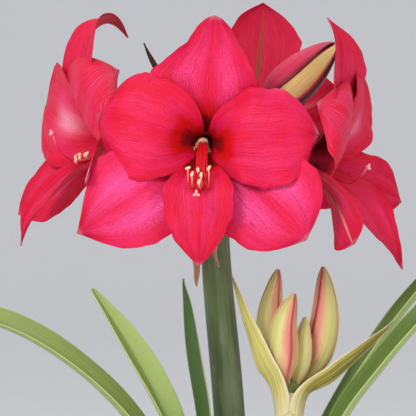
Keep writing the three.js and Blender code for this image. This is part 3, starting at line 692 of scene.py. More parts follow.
def tepal_marks(t, seed):
    s, v = grid(TEPAL_STEPS, TEPAL_ACROSS)
    # Painted shade on the claws in the throat, darker on the outer tepals that lie behind the inner ones
    throat_shade = 0.62 * smooth((0.26 - s) / 0.1) if t["inner"] else smooth((0.38 - s) / 0.14)
    patch = t["patch"] * np.exp(-(((s - 0.5) / 0.11) ** 2) - ((v + 0.05) / 0.24) ** 2)
    aside = (v - t["eye_aside"]) / 0.55
    eye = t["eye"] * smooth((0.5 - s) / 0.28) * np.exp(-(aside**4))
    # Painted shade in the dark gaps beside the filaments
    gaps = t["gaps"] * smooth((0.42 - s) / 0.08) * smooth((np.abs(v) - 0.15) / 0.3)
    # Painted shade in a patch where the tepal dips into the throat
    dip_shade_depth, dip_shade_at = t["dip_shade"]
    dip_shade = dip_shade_depth * np.exp(-(((s - dip_shade_at) / 0.16) ** 2) - (v / 0.5) ** 2)
    # A painted highlight in a band to both sides of the midrib, past mid blade
    glow = t["glow"] * np.exp(-(((s - 0.62) / 0.22) ** 2) - ((np.abs(v) - 0.38) / 0.26) ** 2)
    white = t["whitened"]
    tip = lerp(0.5, 0.9, white) * smooth((s - lerp(0.965, 0.93, white)) / 0.03)
    # The eye and all the painted shade of the throat go into one mark
    dark = np.maximum(np.maximum(eye, throat_shade), np.maximum(dip_shade, gaps))
    marks = sheet_marks(s, v, eye=dark, pale=np.maximum(patch, tip), seed=seed,
                        pink=t["pink"], glow=glow, keeled=t["keeled"],
                        pale_keel=t["pale_keel"],
                        streaked=t["streaked"] * smooth((s - 0.4) / 0.3))
    # The outer face's share of the blade's colour, painted light on a back that lies in shade
    return {**marks, **inner_mark(s, v, t["rosy"])}

def tepal_thickness():
    s, v = grid(TEPAL_STEPS, TEPAL_ACROSS)
    return lerp(CLAW_THICK, TEPAL_THICK, smooth(s / 0.4)) * (1 - 0.5 * v**6)

seed = 0
for flower_name, tepals in TEPALS.items():
    for tepal_name, own in tepals.items():
        seed += 1
        t = {**TEPAL_USUAL, **own}
        blade = sheet(tepal_surface(FRAMES[flower_name], t, seed), tepal_thickness())
        piece(f"tepal_{flower_name}_{tepal_name}", *blade, PETAL, f"bloom_{flower_name}", "petal",
              tepal_marks(t, seed))
print("tepals:", seed)

# %% [markdown]
# ## Throat, stamens and style
#
# The tepals of one flower grow together into a short tube, and at its mouth an arch of small pale
# fringes stands over the filaments. Six red filaments leave the tube in a close bundle, dip forward
# and curve up again at their ends, where each carries a curved cream anther. One longer style ends in
# three white lobes. Threads this thin would vanish as sculpted forms, so each is a tube along a path
# of a few places, and the anthers are short bent tubes that swell, with their grains left to the bump.

# %% Throat and thread paint
THREAD_RED = rgb(214, 20, 34)
THREAD_PALE = rgb(250, 150, 150)
POLLEN = rgb(255, 240, 214)
POLLEN_DARK = rgb(250, 206, 158)
TUBE_OUT = rgb(150, 84, 44)
TUBE_IN = rgb(60, 6, 12)
FRINGE = rgb(252, 222, 190)
FRINGE_BROWN = rgb(196, 136, 88)
STIGMA = rgb(255, 222, 228)

def thread_paint():
    paint = Paint("filament", Roughness=0.38, Subsurface_Weight=0.1, Subsurface_Scale=0.002)
    along = paint.mark("along")
    paint.show("Base Color", paint.blend(THREAD_RED, THREAD_PALE, along.step(0.86, 1.0)))
    paint.relief((paint.mark("across") * 3).ridge(), 0.1)
    return paint.finished()

GRAIN_DEPTH = 350

def grainy_paint(name, light, dark, grain, rough):
    """A finish of two colours in fine grains, as on pollen, fringe and stigma."""
    paint = Paint(name, Roughness=rough)
    grains = paint.noise(paint.object_place, grain, 3).step(0.4, 0.62)
    paint.show("Base Color", paint.blend(dark, light, grains))
    paint.relief(grains, GRAIN_DEPTH / grain)
    return paint.finished()

def tube_paint():
    paint = Paint("flower_tube", Roughness=0.5)
    streaks = paint.noise(paint.at(paint.mark("across") * 14, paint.mark("along") * 1.5), 2.0)
    outside = paint.blend(TUBE_OUT, OUTER_RED, streaks.step(0.35, 0.65))
    inside = paint.blend(THROAT_RED, TUBE_IN, paint.mark("along").step(0.56, 0.8))
    paint.show("Base Color", paint.blend(outside, inside, paint.mark("along").step(0.4, 0.46)))
    paint.relief(streaks, 0.3)
    return paint.finished()

THREAD = thread_paint()
ANTHER = grainy_paint("pollen", POLLEN, POLLEN_DARK, 5200, 0.8)
STIGMA_WHITE = grainy_paint("stigma", STIGMA, THREAD_PALE, 1800, 0.5)
FRINGE_BEIGE = grainy_paint("throat_fringe", FRINGE, FRINGE_BROWN, 1400, 0.6)
FLOWER_TUBE = tube_paint()

# %% Threads and anthers
STAMEN_STEPS = 48
THREAD_SIDES = 8
FILAMENT_R = 0.95
STYLE_R = 0.75
ANTHER_STEPS = 14
ANTHER_SIDES = 12
ANTHER_HALF = 2.0
ANTHER_R = 1.35
ANTHERS = [  # right, up and out of the front flower, and the turn that its anther lies at, in degrees
    (-9.1, -19.5, 60, 20), (-5.9, -23.9, 65, 70), (-2.1, -20.9, 58, 92), (0.4, -24.6, 64, 84),
    (5.8, -19.5, 60, 55), (-0.8, -29.4, 67, 70),
]
STAMENS = {  # way: up and out of the bundle, and last the dip before the anthers
    "front": {"rise": 1, "reach": 1, "spread": 1.9,
              "way": [(1, 3), (0, 17), (-3, 34), (-12, 48), (-23, 56), (-34, 61)],
              "style": [(-1, -6, 36), (-2, -24, 60), (-2.4, -35, 70), (-2, -38, 80)]},
    "left": {"rise": 0.5, "reach": 0.86, "spread": 0.9,
             "way": [(1, 3), (0, 16), (-4, 32), (-8, 42), (-14, 49)],
             "style": [(-1, -8, 36), (-2, -16, 53), (-3, -13, 64), (-3.5, -5, 72), (-4, 6, 76)]},
    "right": {"rise": 0.3, "reach": 0.56, "spread": 0.9,
              "way": [(1, 3), (0, 12), (-3, 20), (-8, 28)],
              "style": [(-1, -9, 30), (-2, -16, 46), (-2, -18, 53), (-2, -13.5, 60), (-2, -6, 66)]},
    "back": {"rise": 0.6, "reach": 0.9, "spread": 0.9,
             "way": [(1, 3), (0, 16), (-4, 34), (-9, 44), (-18, 52)],
             "style": [(-1, -8, 36), (-2, -14, 50), (-3, -12, 66), (-3, -3, 74)]},
}

THREAD_SHARES = np.linspace(0, 1, STAMEN_STEPS + 1)
THREAD_MARKS = tube_marks(THREAD_SHARES, THREAD_SIDES)

def thread(flower, places, thick):
    """A thread through places of its flower, thinner towards its end."""
    line, along = route(in_flower(flower, places), STAMEN_STEPS)
    return closed_tube(tube(line, along, thick * (1 - 0.35 * THREAD_SHARES[:, None]), THREAD_SIDES))

def anther(flower, place, lean):
    """A curved pollen sac with a seam, balanced across the end of its filament."""
    x, y, z = place
    dx, dy = ANTHER_HALF * math.cos(lean), ANTHER_HALF * math.sin(lean)
    path = [(x - dx, y - dy, z - 0.6), (x, y, z + 0.9), (x + dx, y + dy, z - 0.2)]
    line, along = route(in_flower(flower, path), ANTHER_STEPS)
    s = np.linspace(0, 1, ANTHER_STEPS + 1)[:, None]
    swell = ANTHER_R * np.sin(np.pi * np.clip(s, 0.02, 0.98)) ** 0.45
    seam = 1 - 0.25 * np.abs(np.cos(full_turn(ANTHER_SIDES))) ** 6
    return closed_tube(tube(line, along, swell * seam, ANTHER_SIDES))

def stamen_paths(setting):
    """Six paths side by side out of the tube, down to a dip and up to the anthers."""
    paths = []
    way = setting["way"]
    dip, low = way[-1]
    for k, (x, y, z, _) in enumerate(ANTHERS):
        side = (k - 2.5) * setting["spread"]
        deep = 0.8 * (k % 2)
        path = [(side * lerp(0.4, 1, i / len(way)), up - deep, out) for i, (up, out) in enumerate(way[:-1])]
        y, z = y * setting["rise"], z * setting["reach"]
        paths.append([*path, (lerp(side, x, 0.8), dip, low), (x, lerp(dip, y, 0.5), z + 0.6), (x, y, z)])
    return paths

for flower_name, setting in STAMENS.items():
    flower = FRAMES[flower_name]
    paths = stamen_paths(setting)
    threads = [thread(flower, path, FILAMENT_R) for path in paths]
    marks = {name: np.tile(values, len(threads)) for name, values in THREAD_MARKS.items()}
    node = f"stamens_{flower_name}"
    piece(f"filaments_{flower_name}", *gathered(threads), THREAD, node, "stamen", marks)
    leans = [math.radians(lean) for *_, lean in ANTHERS]
    sacs = [anther(flower, path[-1], lean) for path, lean in zip(paths, leans)]
    piece(f"anthers_{flower_name}", *gathered(sacs), ANTHER, node, "stamen")
    style = thread(flower, [(0, -1, 3), (-0.5, -2, 18), *setting["style"]], STYLE_R)
    piece(f"style_{flower_name}", *style, THREAD, node, "stamen", THREAD_MARKS)

print("stamens:", len(STAMENS) * len(ANTHERS))

# %% Stigmas: three short lobes at the end of each style
LOBE = 2.6
LOBE_TURNS = (90, 210, 330)
LOBE_STEPS = 8

def stigma(flower, end):
    lobes = []
    for turn in np.radians(LOBE_TURNS):
        way = np.array([LOBE * math.cos(turn), LOBE * math.sin(turn), 0])
        path = [end + np.array([0, 0, -0.8]), end + 0.5 * way + [0, 0, 1.3], end + way + [0, 0, 1.4]]
        line, along = route(in_flower(flower, path), LOBE_STEPS)
        swell = 0.75 + 0.25 * np.sin(np.linspace(0, np.pi, LOBE_STEPS + 1))[:, None]
        lobes.append(closed_tube(tube(line, along, swell, THREAD_SIDES)))
    return gathered(lobes)

for flower_name, setting in STAMENS.items():
    lobes = stigma(FRAMES[flower_name], setting["style"][-1])
    piece(f"stigma_{flower_name}", *lobes, STIGMA_WHITE, f"stamens_{flower_name}", "stamen")
print("lobes on each stigma:", len(LOBE_TURNS))

# %% Flower tubes with a fringe at the mouth
TUBE_SIDES = 48
TUBE_STEPS = 40
TUBE_PROFILE = [(1.0, 0), (6.2, 0.2), (7.6, 3), (8.2, 8), (8.3, 12), (7.4, 12.6), (6.4, 11), (5.8, 6),
                (5.2, 3), (0.6, 2.6)]

def flower_tube(flower):
    """The short tube of a flower, from its foot up the outside and down again inside."""
    profile = np.array(TUBE_PROFILE)
    line, _ = route(np.c_[profile, np.zeros(len(profile))], TUBE_STEPS)
    turn = full_turn(TUBE_SIDES)
    radius = line[:, :1] * (1 + 0.04 * np.cos(3 * turn))
    points, faces = closed_tube(in_flower(flower, oval(radius, radius, turn, line[:, 1:2])))
    return points, faces, tube_marks(np.linspace(0, 1, TUBE_STEPS + 1), TUBE_SIDES)

FRINGE_LOBES = 30
FINGER_STEPS = 6
FINGER_SIDES = 6
FRINGE_ARCH = [(-8.8, -6.5, 20), (-5.6, -3.4, 19.5), (-3.8, 0.6, 19), (-1.4, 1.6, 19), (1.2, 0.8, 19),
               (3.6, -5, 19.5), (6.8, -11.5, 20.5)]
FRINGE_CAP = 1.2

def fringe(flower, random):
    """A low arch of small fingers over the filaments, where the tube opens."""
    line, along = route(in_flower(flower, FRINGE_ARCH), FRINGE_LOBES - 1)
    middle = np.exp(-(((np.arange(FRINGE_LOBES) / (FRINGE_LOBES - 1) - 0.46) / 0.11) ** 2))
    thick = 1.0 + FRINGE_CAP * middle + 0.2 * random.normal(0, 1, FRINGE_LOBES)
    fingers = [closed_tube(tube(line, along, thick[:, None], THREAD_SIDES))]
    for foot, more in zip(line, middle):
        lean = 1.8 * flower["out"] + (0.8 + more) * random.normal(0, 1, 3) - (0.8 + 1.2 * more) * flower["up"]
        path, way = route([foot, foot + lean * 0.6, foot + lean], FINGER_STEPS)
        thin = np.linspace(0.9, 0.6, FINGER_STEPS + 1)[:, None] * (1 + 0.3 * more)
        fingers.append(closed_tube(tube(path, way, thin, FINGER_SIDES)))
    return gathered(fingers)

random = np.random.default_rng(7)
for flower_name, flower in FRAMES.items():
    points, faces, marks = flower_tube(flower)
    node = f"bloom_{flower_name}"
    piece(f"tube_{flower_name}", points, faces, FLOWER_TUBE, node, "petal", marks)
    piece(f"fringe_{flower_name}", *fringe(flower, random), FRINGE_BEIGE, node, "petal")
print("fingers in each fringe:", FRINGE_LOBES)

# %% [markdown]
# ## Scapes and flower stalks
#
# A scape is a smooth bare stem as thick as a thumb, with a thin grey bloom of wax over its green, fine
# lengthwise lines, and no leaf on it. It widens into a head, and from the head five stalks curve out
# to the flowers. Behind each flower the stalk swells into a three-sided green ovary. The short scape
# ends in a low cushion that its young buds grow from. Facets would show on stems this smooth, so all
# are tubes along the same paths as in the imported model, with enough sides for faint ribs, and the wax
# is pale clouds in the paint.

# %% Stem paint
STEM_GREEN = rgb(96, 112, 62)
STEM_DARK = rgb(56, 74, 40)
STEM_WAX = rgb(140, 148, 120)
YOUNG_GREEN = rgb(176, 182, 92)
HEAD_CREAM = rgb(226, 216, 160)
BLUSH = rgb(168, 96, 70)
STALK_GREEN = rgb(140, 140, 66)
CUSHION_GREEN = rgb(120, 126, 52)

def stem_paint(name, green, dark, wax, waxed, head=None):
    """A waxy stem: fine lengthwise lines in two greens under a cloudy bloom."""
    paint = Paint(name, Roughness=0.5, Specular_IOR_Level=0.4)
    along, across = paint.marks("along", "across")
    lines = paint.noise(paint.at(across * 90, along * 2), 1.0, 3).step(0.3, 0.7)
    patches = paint.noise(paint.at(across * 8, along * 5), 1.0, 4).step(0.35, 0.7)
    colour = paint.blend(green, dark, lines * 0.6)
    colour = paint.blend(colour, wax, patches * waxed)
    if head:
        colour = paint.blend(colour, head, along.step(0.62, 0.9) * (0.9 - lines * 0.3))
    paint.show("Base Color", colour)
    paint.show("Roughness", 0.42 + patches * 0.2)
    paint.relief(lines, 0.12)
    return paint.finished()

TALL_STEM = stem_paint("scape_skin", STEM_GREEN, STEM_DARK, STEM_WAX, 0.5)
SHORT_STEM = stem_paint("young_scape_skin", YOUNG_GREEN, STEM_GREEN, STEM_WAX, 0.3, HEAD_CREAM)
STALK_SKIN = stem_paint("stalk_skin", STALK_GREEN, BLUSH, STEM_WAX, 0.2)

# %% Scapes
NECK_TOP = 186
SOCKET_DEPTH = 14
FOOT = NECK_TOP - SOCKET_DEPTH
TALL_TOP = 430
SHORT_TOP = 296
TALL = [(-4, 14, FOOT), (-8, 12, 276), (-17, 8, 380), (-20, 6, TALL_TOP)]
SHORT = [(20, -12, FOOT), (27, -16, 215), (34, -20, 276), (36, -20, SHORT_TOP)]

RIBS = 9

def ribbed_stem(name, path, radius, node, slot, finish, sides=72, steps=90, lobes=0.0):
    """A stem along a path. radius gives millimetres for each share of its length."""
    places, along = route(path, steps)
    shares = np.linspace(0, 1, steps + 1)
    s, turn = shares[:, None], full_turn(sides)
    rib = 1 + 0.012 * np.cos(RIBS * turn + 2 * s) + 0.01 * np.cos(2 * turn + 3 * s)
    wander = 1 + 0.008 * np.sin(11 * s + 1.3)
    shape = rib * wander * (1 + lobes * np.cos(3 * turn) * smooth((s - 0.66) / 0.16))
    stem = closed_tube(tube(places, along, radius(s) * shape, sides))
    piece(name, *stem, finish, node, slot, tube_marks(shares, sides))

def tall_radius(s):
    return lerp(12.3, 11, s) + 2.6 * smooth((s - 0.92) / 0.05) - 1.2 * smooth((s - 0.985) / 0.015)

def short_radius(s):
    return lerp(9.8, 9.4, s) + 2 * smooth((s - 0.86) / 0.1) - 1.0 * smooth((s - 0.975) / 0.025)

ribbed_stem("scape_tall_skin", TALL, tall_radius, "scape_tall", "scape_green", TALL_STEM)
ribbed_stem("scape_short_skin", SHORT, short_radius, "scape_short", "scape_green", SHORT_STEM)
print("scapes:", TALL_TOP - FOOT, "and", SHORT_TOP - FOOT, "mm long")

# %% The cushion on the short scape that its buds grow from
CUSHION_R = 8.6
CUSHION_H = 12
CUSHION_RINGS = 12
CUSHION_SIDES = 48

def cushion():
    """A low dome of young tissue, lobed where the four stalks leave it."""
    up = np.linspace(0, np.pi / 2 - 0.06, CUSHION_RINGS)[:, None]
    turn = full_turn(CUSHION_SIDES)
    radius = CUSHION_R * np.cos(up) * (1 + 0.07 * np.cos(4 * turn + 0.6))
    rings = oval(radius, radius, turn, SHORT_TOP - 2 + CUSHION_H * np.sin(up))
    points, faces = closed_tube(rings + [*SHORT[-1][:2], 0])
    return points, faces, tube_marks(np.linspace(0, 0.3, CUSHION_RINGS), CUSHION_SIDES)

CUSHION_SKIN = stem_paint("cushion_skin", CUSHION_GREEN, STEM_DARK, HEAD_CREAM, 0.2)
points, faces, marks = cushion()
piece("scape_short_cushion", points, faces, CUSHION_SKIN, "scape_short", "scape_green", marks)
print("cushion:", CUSHION_H, "mm high")

# %% Stalks with their ovaries
AROUND_HEAD = {"front": 270, "right": 342, "bud": 54, "back": 126, "left": 198}
HEAD_RING_R = 7.4
HOLE_DEPTH = 6
STALK_R = 3.2
STALK_FOOT = (-HOLE_DEPTH, -1, 4, 8)
STALK_END = (-11, -4, 0.6)
BUD_FOOT = np.array([8.0, 9.0, 497.0])
BUD_TIP = np.array([73.0, 20.0, 556.0])
STALK_BENDS = {
    "front": [(-23, -1, 448), (-26, -3, 468)],
    "left": [(-30, 9, 448), (-44, 20, 472)],
    "right": [(-8, 4, 442), (8, 3, 459)],
    "back": [(-22, 21, 450), (-14, 27, 474)],
    "bud": [(-12, 10, 450), (-5, 8.5, 475)],
}

def stalk_path(name):
    turn = math.radians(AROUND_HEAD[name])
    x, y = TALL[-1][0] + HEAD_RING_R * math.cos(turn), TALL[-1][1] + HEAD_RING_R * math.sin(turn)
    out = unit(BUD_TIP - BUD_FOOT) if name == "bud" else FRAMES[name]["out"]
    end = BUD_FOOT if name == "bud" else FRAMES[name]["base"]
    foot = [(x, y, TALL_TOP + z) for z in STALK_FOOT]
    return [*foot, *STALK_BENDS[name], *[end + reach * out for reach in STALK_END]]

def ovary_radius(s):
    return STALK_R + 3 * smooth((s - 0.66) / 0.16) * (1 - 0.3 * smooth((s - 0.9) / 0.1))

for stalk_name in AROUND_HEAD:
    ribbed_stem(f"stalk_{stalk_name}_skin", stalk_path(stalk_name), ovary_radius,
                f"stalk_{stalk_name}", "stalk_green", STALK_SKIN, sides=36, steps=70, lobes=0.1)
print("stalks:", len(AROUND_HEAD))

# %% [markdown]
# ## Buds
#
# A closed bud is a pointed spindle wrapped in three outer tepals. Each has one margin over and one
# under its neighbour's, so the wraps show as creases that wind from foot to tip. A single displaced
# spindle would smear those creases, so every wrap is a thin sheet of its own, laid on the spindle's
# surface. Its over margin stands off a little, and its under margin sinks in. The backs are
# yellow-green, and the margins blush pink and crimson. The bud that opens is larger and already red,
# with a yellow keel on its lower tepal and a dark gap where the tepals part.

# %% Bud paint
BUD_GREEN = rgb(200, 200, 104)
BUD_CREAM = rgb(240, 218, 160)
BUD_PINK = rgb(226, 120, 112)
BUD_CRIMSON = rgb(172, 28, 60)
BUD_FOOT_GREEN = rgb(104, 116, 40)
BUD_RUSSET = rgb(196, 120, 60)

def bud_paint():
    paint = Paint("bud_skin", Roughness=0.42, Specular_IOR_Level=0.4, Subsurface_Weight=0.1,
                  Subsurface_Scale=0.002)
    along, across, seed = paint.marks("along", "across", "seed")
    lines = paint.noise(paint.at(across * 22, along * 1.8, seed), 1.0, 3).step(0.3, 0.7)
    clouds = paint.noise(paint.at(across * 1.5, along * 2.5, seed), 1.6, 2)
    edge = abs(across) + clouds * 0.5 - 0.25
    blush = paint.mark("blush")
    colour = paint.blend(BUD_GREEN, BUD_CREAM, lines * 0.5 + edge.step(0.0, 0.5) * 0.4)
    rosy = (edge + blush * 0.35 + lines * 0.12 - 0.35).step(0.15, 0.8) * blush.step(0.0, 0.6)
    colour = paint.blend(colour, BUD_PINK, rosy * 0.9)
    rim = (across + lines * 0.08).step(0.84, 1.0) * along.step(0.1, 0.4)
    colour = paint.blend(colour, BUD_CRIMSON, rim * blush.step(0.0, 0.8) * paint.mark("rimmed"))
    colour = paint.blend(colour, BUD_RUSSET, clouds.step(0.45, 0.62) * along.step(0.5, 0.2) * 0.55)
    colour = paint.blend(colour, BUD_FOOT_GREEN, (along + lines * 0.08).step(0.26, 0.08))
    paint.show("Base Color", colour)
    paint.relief(lines, 0.25)
    return paint.finished()

MAROON = rgb(96, 10, 28)
GOLD = rgb(250, 226, 130)
GOLD_PEACH = rgb(252, 204, 168)
GOLD_RUSSET = rgb(204, 116, 60)

def opening_bud_paint():
    paint = Paint("opening_bud_skin", Roughness=0.45, Specular_IOR_Level=0.4)
    along, across, seed = paint.marks("along", "across", "seed")
    lines = paint.noise(paint.at(across * 26, along * 1.6, seed), 1.0, 3).step(0.3, 0.7)
    keel = (abs(across) - paint.mark("keel")).step(0.12, -0.2) * paint.mark("keel").step(0.0, 0.3)
    red = paint.blend(OUTER_RED, PINK, lines * 0.45)
    gold = paint.blend(GOLD, GOLD_PEACH, lines * 0.6)
    gold = paint.blend(gold, GOLD_RUSSET, along.step(0.35, 0.1))
    red = paint.blend(red, MAROON, abs(across).step(0.7, 1.0) * 0.8 + paint.mark("shade") * 0.75)
    paint.show("Base Color", paint.blend(red, gold, keel))
    paint.relief(lines, 0.3)
    return paint.finished()

BUD_SKIN = bud_paint()
OPENING_SKIN = opening_bud_paint()

# %% Wraps on a spindle
BUD_STEPS = 64
WRAP_ACROSS = 28
WRAP_THICK = 0.7
CORE_INSET = 0.8
CORE_SIDES = 32
BUD_FOOT_R = 2.0
OPENING_FOOT_R = 5

def bud_radius(s, width, foot):
    fuller = lerp(0.9, 0.66, smooth((s - 0.5) / 0.5))
    swell = np.sin(np.pi * np.minimum(1, 0.1 + s * 0.9) ** 1.12) ** fuller
    return np.maximum(0.5, lerp(foot, width / 2 * swell, smooth((s - 0.05) / 0.33)))

def wrap(path, width, around, spread, foot=BUD_FOOT_R, twist=20.0, part=0.0):
    """A sheet on a bud's surface round the angle `around`, `spread` degrees to either side of it."""
    places, along = route(path, BUD_STEPS)
    side, deep = carried(along)
    s, v = grid(BUD_STEPS, WRAP_ACROSS)
    lens_shape = 0.45 + 0.55 * np.sin(np.pi * s * 0.92) ** 0.6
    turn = np.radians(around + twist * (s - 0.5) + v * spread * lens_shape)
    radius = bud_radius(s, width, foot) + 0.7 * smooth((s - 0.1) / 0.2) * (v**3 + 0.1)
    radius = radius + part * smooth((s - 0.2) / 0.8)
    radius = radius - 0.35 * np.exp(-((v / 0.1) ** 2)) * smooth(s / 0.3) + 0.15 * np.cos(14 * v) * smooth(s)
    return (places[:, None] + side[:, None] * (np.cos(turn) * radius)[..., None]
            + deep[:, None] * (np.sin(turn) * radius)[..., None])

def wrap_marks(seed, **tints):
    return sheet_marks(*grid(BUD_STEPS, WRAP_ACROSS), seed=seed, **tints)

CORE_MARKS = {"across": 0.9, "seed": 0, "blush": 1, "keel": 0, "shade": 1, "rimmed": 0}

def bud_core(path, width, foot):
    """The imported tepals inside, which show in the gaps between the wraps."""
    places, along = route(path, BUD_STEPS)
    shares = np.linspace(0, 1, BUD_STEPS + 1)
    radius = bud_radius(shares[:, None], width - 2 * CORE_INSET, foot - 0.3)
    points, faces = closed_tube(tube(places, along, radius, CORE_SIDES))
    even = {name: np.full(len(points), value) for name, value in CORE_MARKS.items()}
    return points, faces, {**tube_marks(shares, CORE_SIDES), **even}

HALFWAY = 2 * float(bud_radius(np.array(0.5), 20, BUD_FOOT_R))
print("a bud 20 mm wide is", round(HALFWAY, 1), "mm wide at half height")

# %% Young buds
RIMMED = (1.0, 1.0, 0.1)
YOUNG_BUDS = {  # first: where the first wrap faces, turn: degrees to the next one
    "back_left": {"path": [(30, -13, 291), (30, -13, 298), (24, -5, 330), (23, -2, 352), (28.5, -6, 386)],
                  "width": 20, "first": 222, "turn": 120, "blush": (0.5, 1.2, 0.2)},
    "middle": {"path": [(33, -26.5, 291), (33, -26.5, 298), (32, -31, 324), (32, -33, 345),
                        (39.5, -33, 369)],
               "width": 21.5, "first": 218, "turn": 120, "blush": (0.55, 1.7, 0.2)},
    "small": {"path": [(40.5, -20, 291), (40.5, -20, 298), (45, -19, 322), (48, -20, 351)],
              "width": 14, "first": 262, "turn": 120, "blush": (0.1, 0.4, 0.3)},
    "right": {"path": [(42, -12.5, 291), (42, -12.5, 298), (56, -4, 318), (63, -2, 346), (62, -6, 388)],
              "width": 22, "first": 306, "turn": -120, "blush": (0.9, 1.5, 0.2)},
}
WRAP_SPREAD = 82

for number, (bud_name, bud) in enumerate(YOUNG_BUDS.items()):
    for k in range(3):
        spread = math.copysign(WRAP_SPREAD, bud["turn"])
        middle = wrap(bud["path"], bud["width"], bud["first"] + k * bud["turn"], spread)
        marks = wrap_marks(3 * number + k, blush=bud["blush"][k], rimmed=RIMMED[k])
        piece(f"bud_{bud_name}_wrap_{k + 1}", *sheet(middle, WRAP_THICK), BUD_SKIN, f"bud_{bud_name}",
              "bud_green", marks)
    points, faces, marks = bud_core(bud["path"], bud["width"], BUD_FOOT_R)
    piece(f"bud_{bud_name}_core", points, faces, BUD_SKIN, f"bud_{bud_name}", "bud_green", marks)
print("young buds:", len(YOUNG_BUDS))

# %% The opening bud
BUD_WIDTH = 34
OPENING_WRAPS = {
    "upper": {"around": 188, "spread": 72, "part": 1.4, "keel": 0.0, "shade": 0.0},
    "lower": {"around": 282, "spread": 38, "part": 0.2, "keel": 0.72, "shade": 0.0},
    "under": {"around": 58, "spread": 96, "part": 0.8, "keel": 0.0, "shade": 0.5},
}
opening_path = [BUD_FOOT, lerp(BUD_FOOT, BUD_TIP, 0.5), BUD_TIP]
for k, (wrap_name, w) in enumerate(OPENING_WRAPS.items()):
    middle = wrap(opening_path, BUD_WIDTH, w["around"], w["spread"], OPENING_FOOT_R, 0, w["part"])
    piece(f"bud_opening_{wrap_name}", *sheet(middle, TEPAL_THICK), OPENING_SKIN, "bud_opening",
          "bud_red", wrap_marks(20 + k, keel=w["keel"], shade=w["shade"]))
points, faces, marks = bud_core(opening_path, BUD_WIDTH - 3, OPENING_FOOT_R)
piece("bud_opening_core", points, faces, OPENING_SKIN, "bud_opening", "bud_red", marks)
print("wraps on the opening bud:", len(OPENING_WRAPS))

# %% [markdown]
# ## Leaves and bracts
#
# Leaves of this plant are long straps with a shallow channel, thick and waxy in the middle and thin
# at the rim. Bracts are the papery valves that once wrapped the buds. Both follow one rule: a path, a
# direction that the inner face looks in at foot and tip, a width that tapers late, and a fold. Each
# could be a bent plane with modifiers, but one function that lays the grid for both keeps the packed
# sizes. It also adds their ripples, and the ribs are left to the paint.

# %% The strap rule
STRAP = {"base": 0.72, "shoulder": 0.55, "blunt": 2.4, "rounded": 0.0}
STRAP_TIP = 0.6
FOLDS_FROM = 5

def strap_surface(strap, steps, across, ripple, seed):
    """The middle surface of a leaf or bract, from foot to tip and from edge to edge."""
    strap = {**STRAP, **strap}
    places, along = route(strap["path"], steps)
    s, v = grid(steps, across)
    foot, tip = (unit(np.array(face, float)) for face in strap["faces"])
    over = unit(np.cross(along, lerp(foot, tip, s)))
    normal = unit(np.cross(over, along))
    beyond = np.clip((s - strap["shoulder"]) / (1 - strap["shoulder"]), 0, 1)
    taper = np.maximum(1 - beyond ** strap["blunt"], strap["rounded"] * np.sqrt(1 - beyond))
    half = np.maximum(STRAP_TIP, strap["width"] / 2 * lerp(strap["base"], 1, smooth(s / 0.35)) * taper)
    fold = np.radians(lerp(*strap["fold"], s)) * smooth(half / FOLDS_FROM)
    turn = fold * np.sqrt(np.abs(v))
    half = half * (1 + ripple * 0.03 * np.sin(37 * s + seed) * np.sign(v))
    wave = np.sin(17 * s + 3 * np.sign(v) + seed) + 0.6 * np.sin(9 * v + seed + 5 * s)
    rise = half * np.abs(v) * np.sin(turn) + ripple * wave * np.abs(v) * smooth(half / FOLDS_FROM)
    reach = half * v * np.cos(turn)
    return places[:, None] + over[:, None] * reach[..., None] + normal[:, None] * rise[..., None]

def strap_marks(steps, across, seed, **even):
    s, v = grid(steps, across)
    return {**sheet_marks(s, v, seed=seed, **even), **inner_mark(s, v)}

print("a strap's tip is at least", 2 * STRAP_TIP, "mm wide, and flat below", 2 * FOLDS_FROM, "mm")

# %% Leaf paint
LEAF_GREEN = rgb(112, 142, 56)
LEAF_PALE = rgb(164, 180, 96)
# Dark green of the outer face, also used for painted shade on a leaf and in its fold
LEAF_DARK = rgb(60, 88, 34)
LEAF_RIM = rgb(190, 198, 128)
# A lighter green, painted light on the lit half of a leaf
LEAF_LIT = rgb(166, 184, 102)

def leaf_paint():
    paint = Paint("leaf_skin", Roughness=0.36, Specular_IOR_Level=0.5, Coat_Roughness=0.3)
    along, across, seed = paint.marks("along", "across", "seed")
    veins = paint.noise(paint.at(across * 26, along * 1.2, seed), 1.0, 2).step(0.35, 0.65)
    clouds = paint.noise(paint.at(across * 1.4, along * 7, seed), 1.0, 3).step(0.3, 0.7)
    # Painted light and shade: each leaf's own mark lightens it, or darkens it below zero, and the half of
    # each leaf on one side of its midrib is painted lit
    tone, lit = paint.mark("tone"), across.step(-0.2, 0.3)
    inner = paint.blend(LEAF_GREEN, LEAF_PALE, veins * 0.3 + clouds * 0.35)
    outer = paint.blend(LEAF_GREEN, LEAF_DARK, veins * 0.45 + clouds * 0.25)
    colour = paint.blend(outer, inner, paint.mark("inner"))
    colour = paint.blend(colour, LEAF_LIT, (tone * 0.6 + lit * 0.6 - veins * 0.15).most(0))
    colour = paint.blend(colour, LEAF_DARK, (tone * -0.8 - lit).most(0))
    # Darker along the fold at the midrib: painted shade in the groove
    colour = paint.blend(colour, LEAF_DARK, abs(across).step(0.06, 0.0) * 0.35)
    # Paler along the margins: a painted highlight where the rims catch the light
    colour = paint.blend(colour, LEAF_RIM, abs(across).step(0.93, 1.0) * 0.7)
    paint.show("Base Color", colour)
    paint.show("Roughness", 0.34 + clouds * 0.14)
    paint.relief(veins, 0.12)
    return paint.finished()

LEAF_SKIN = leaf_paint()
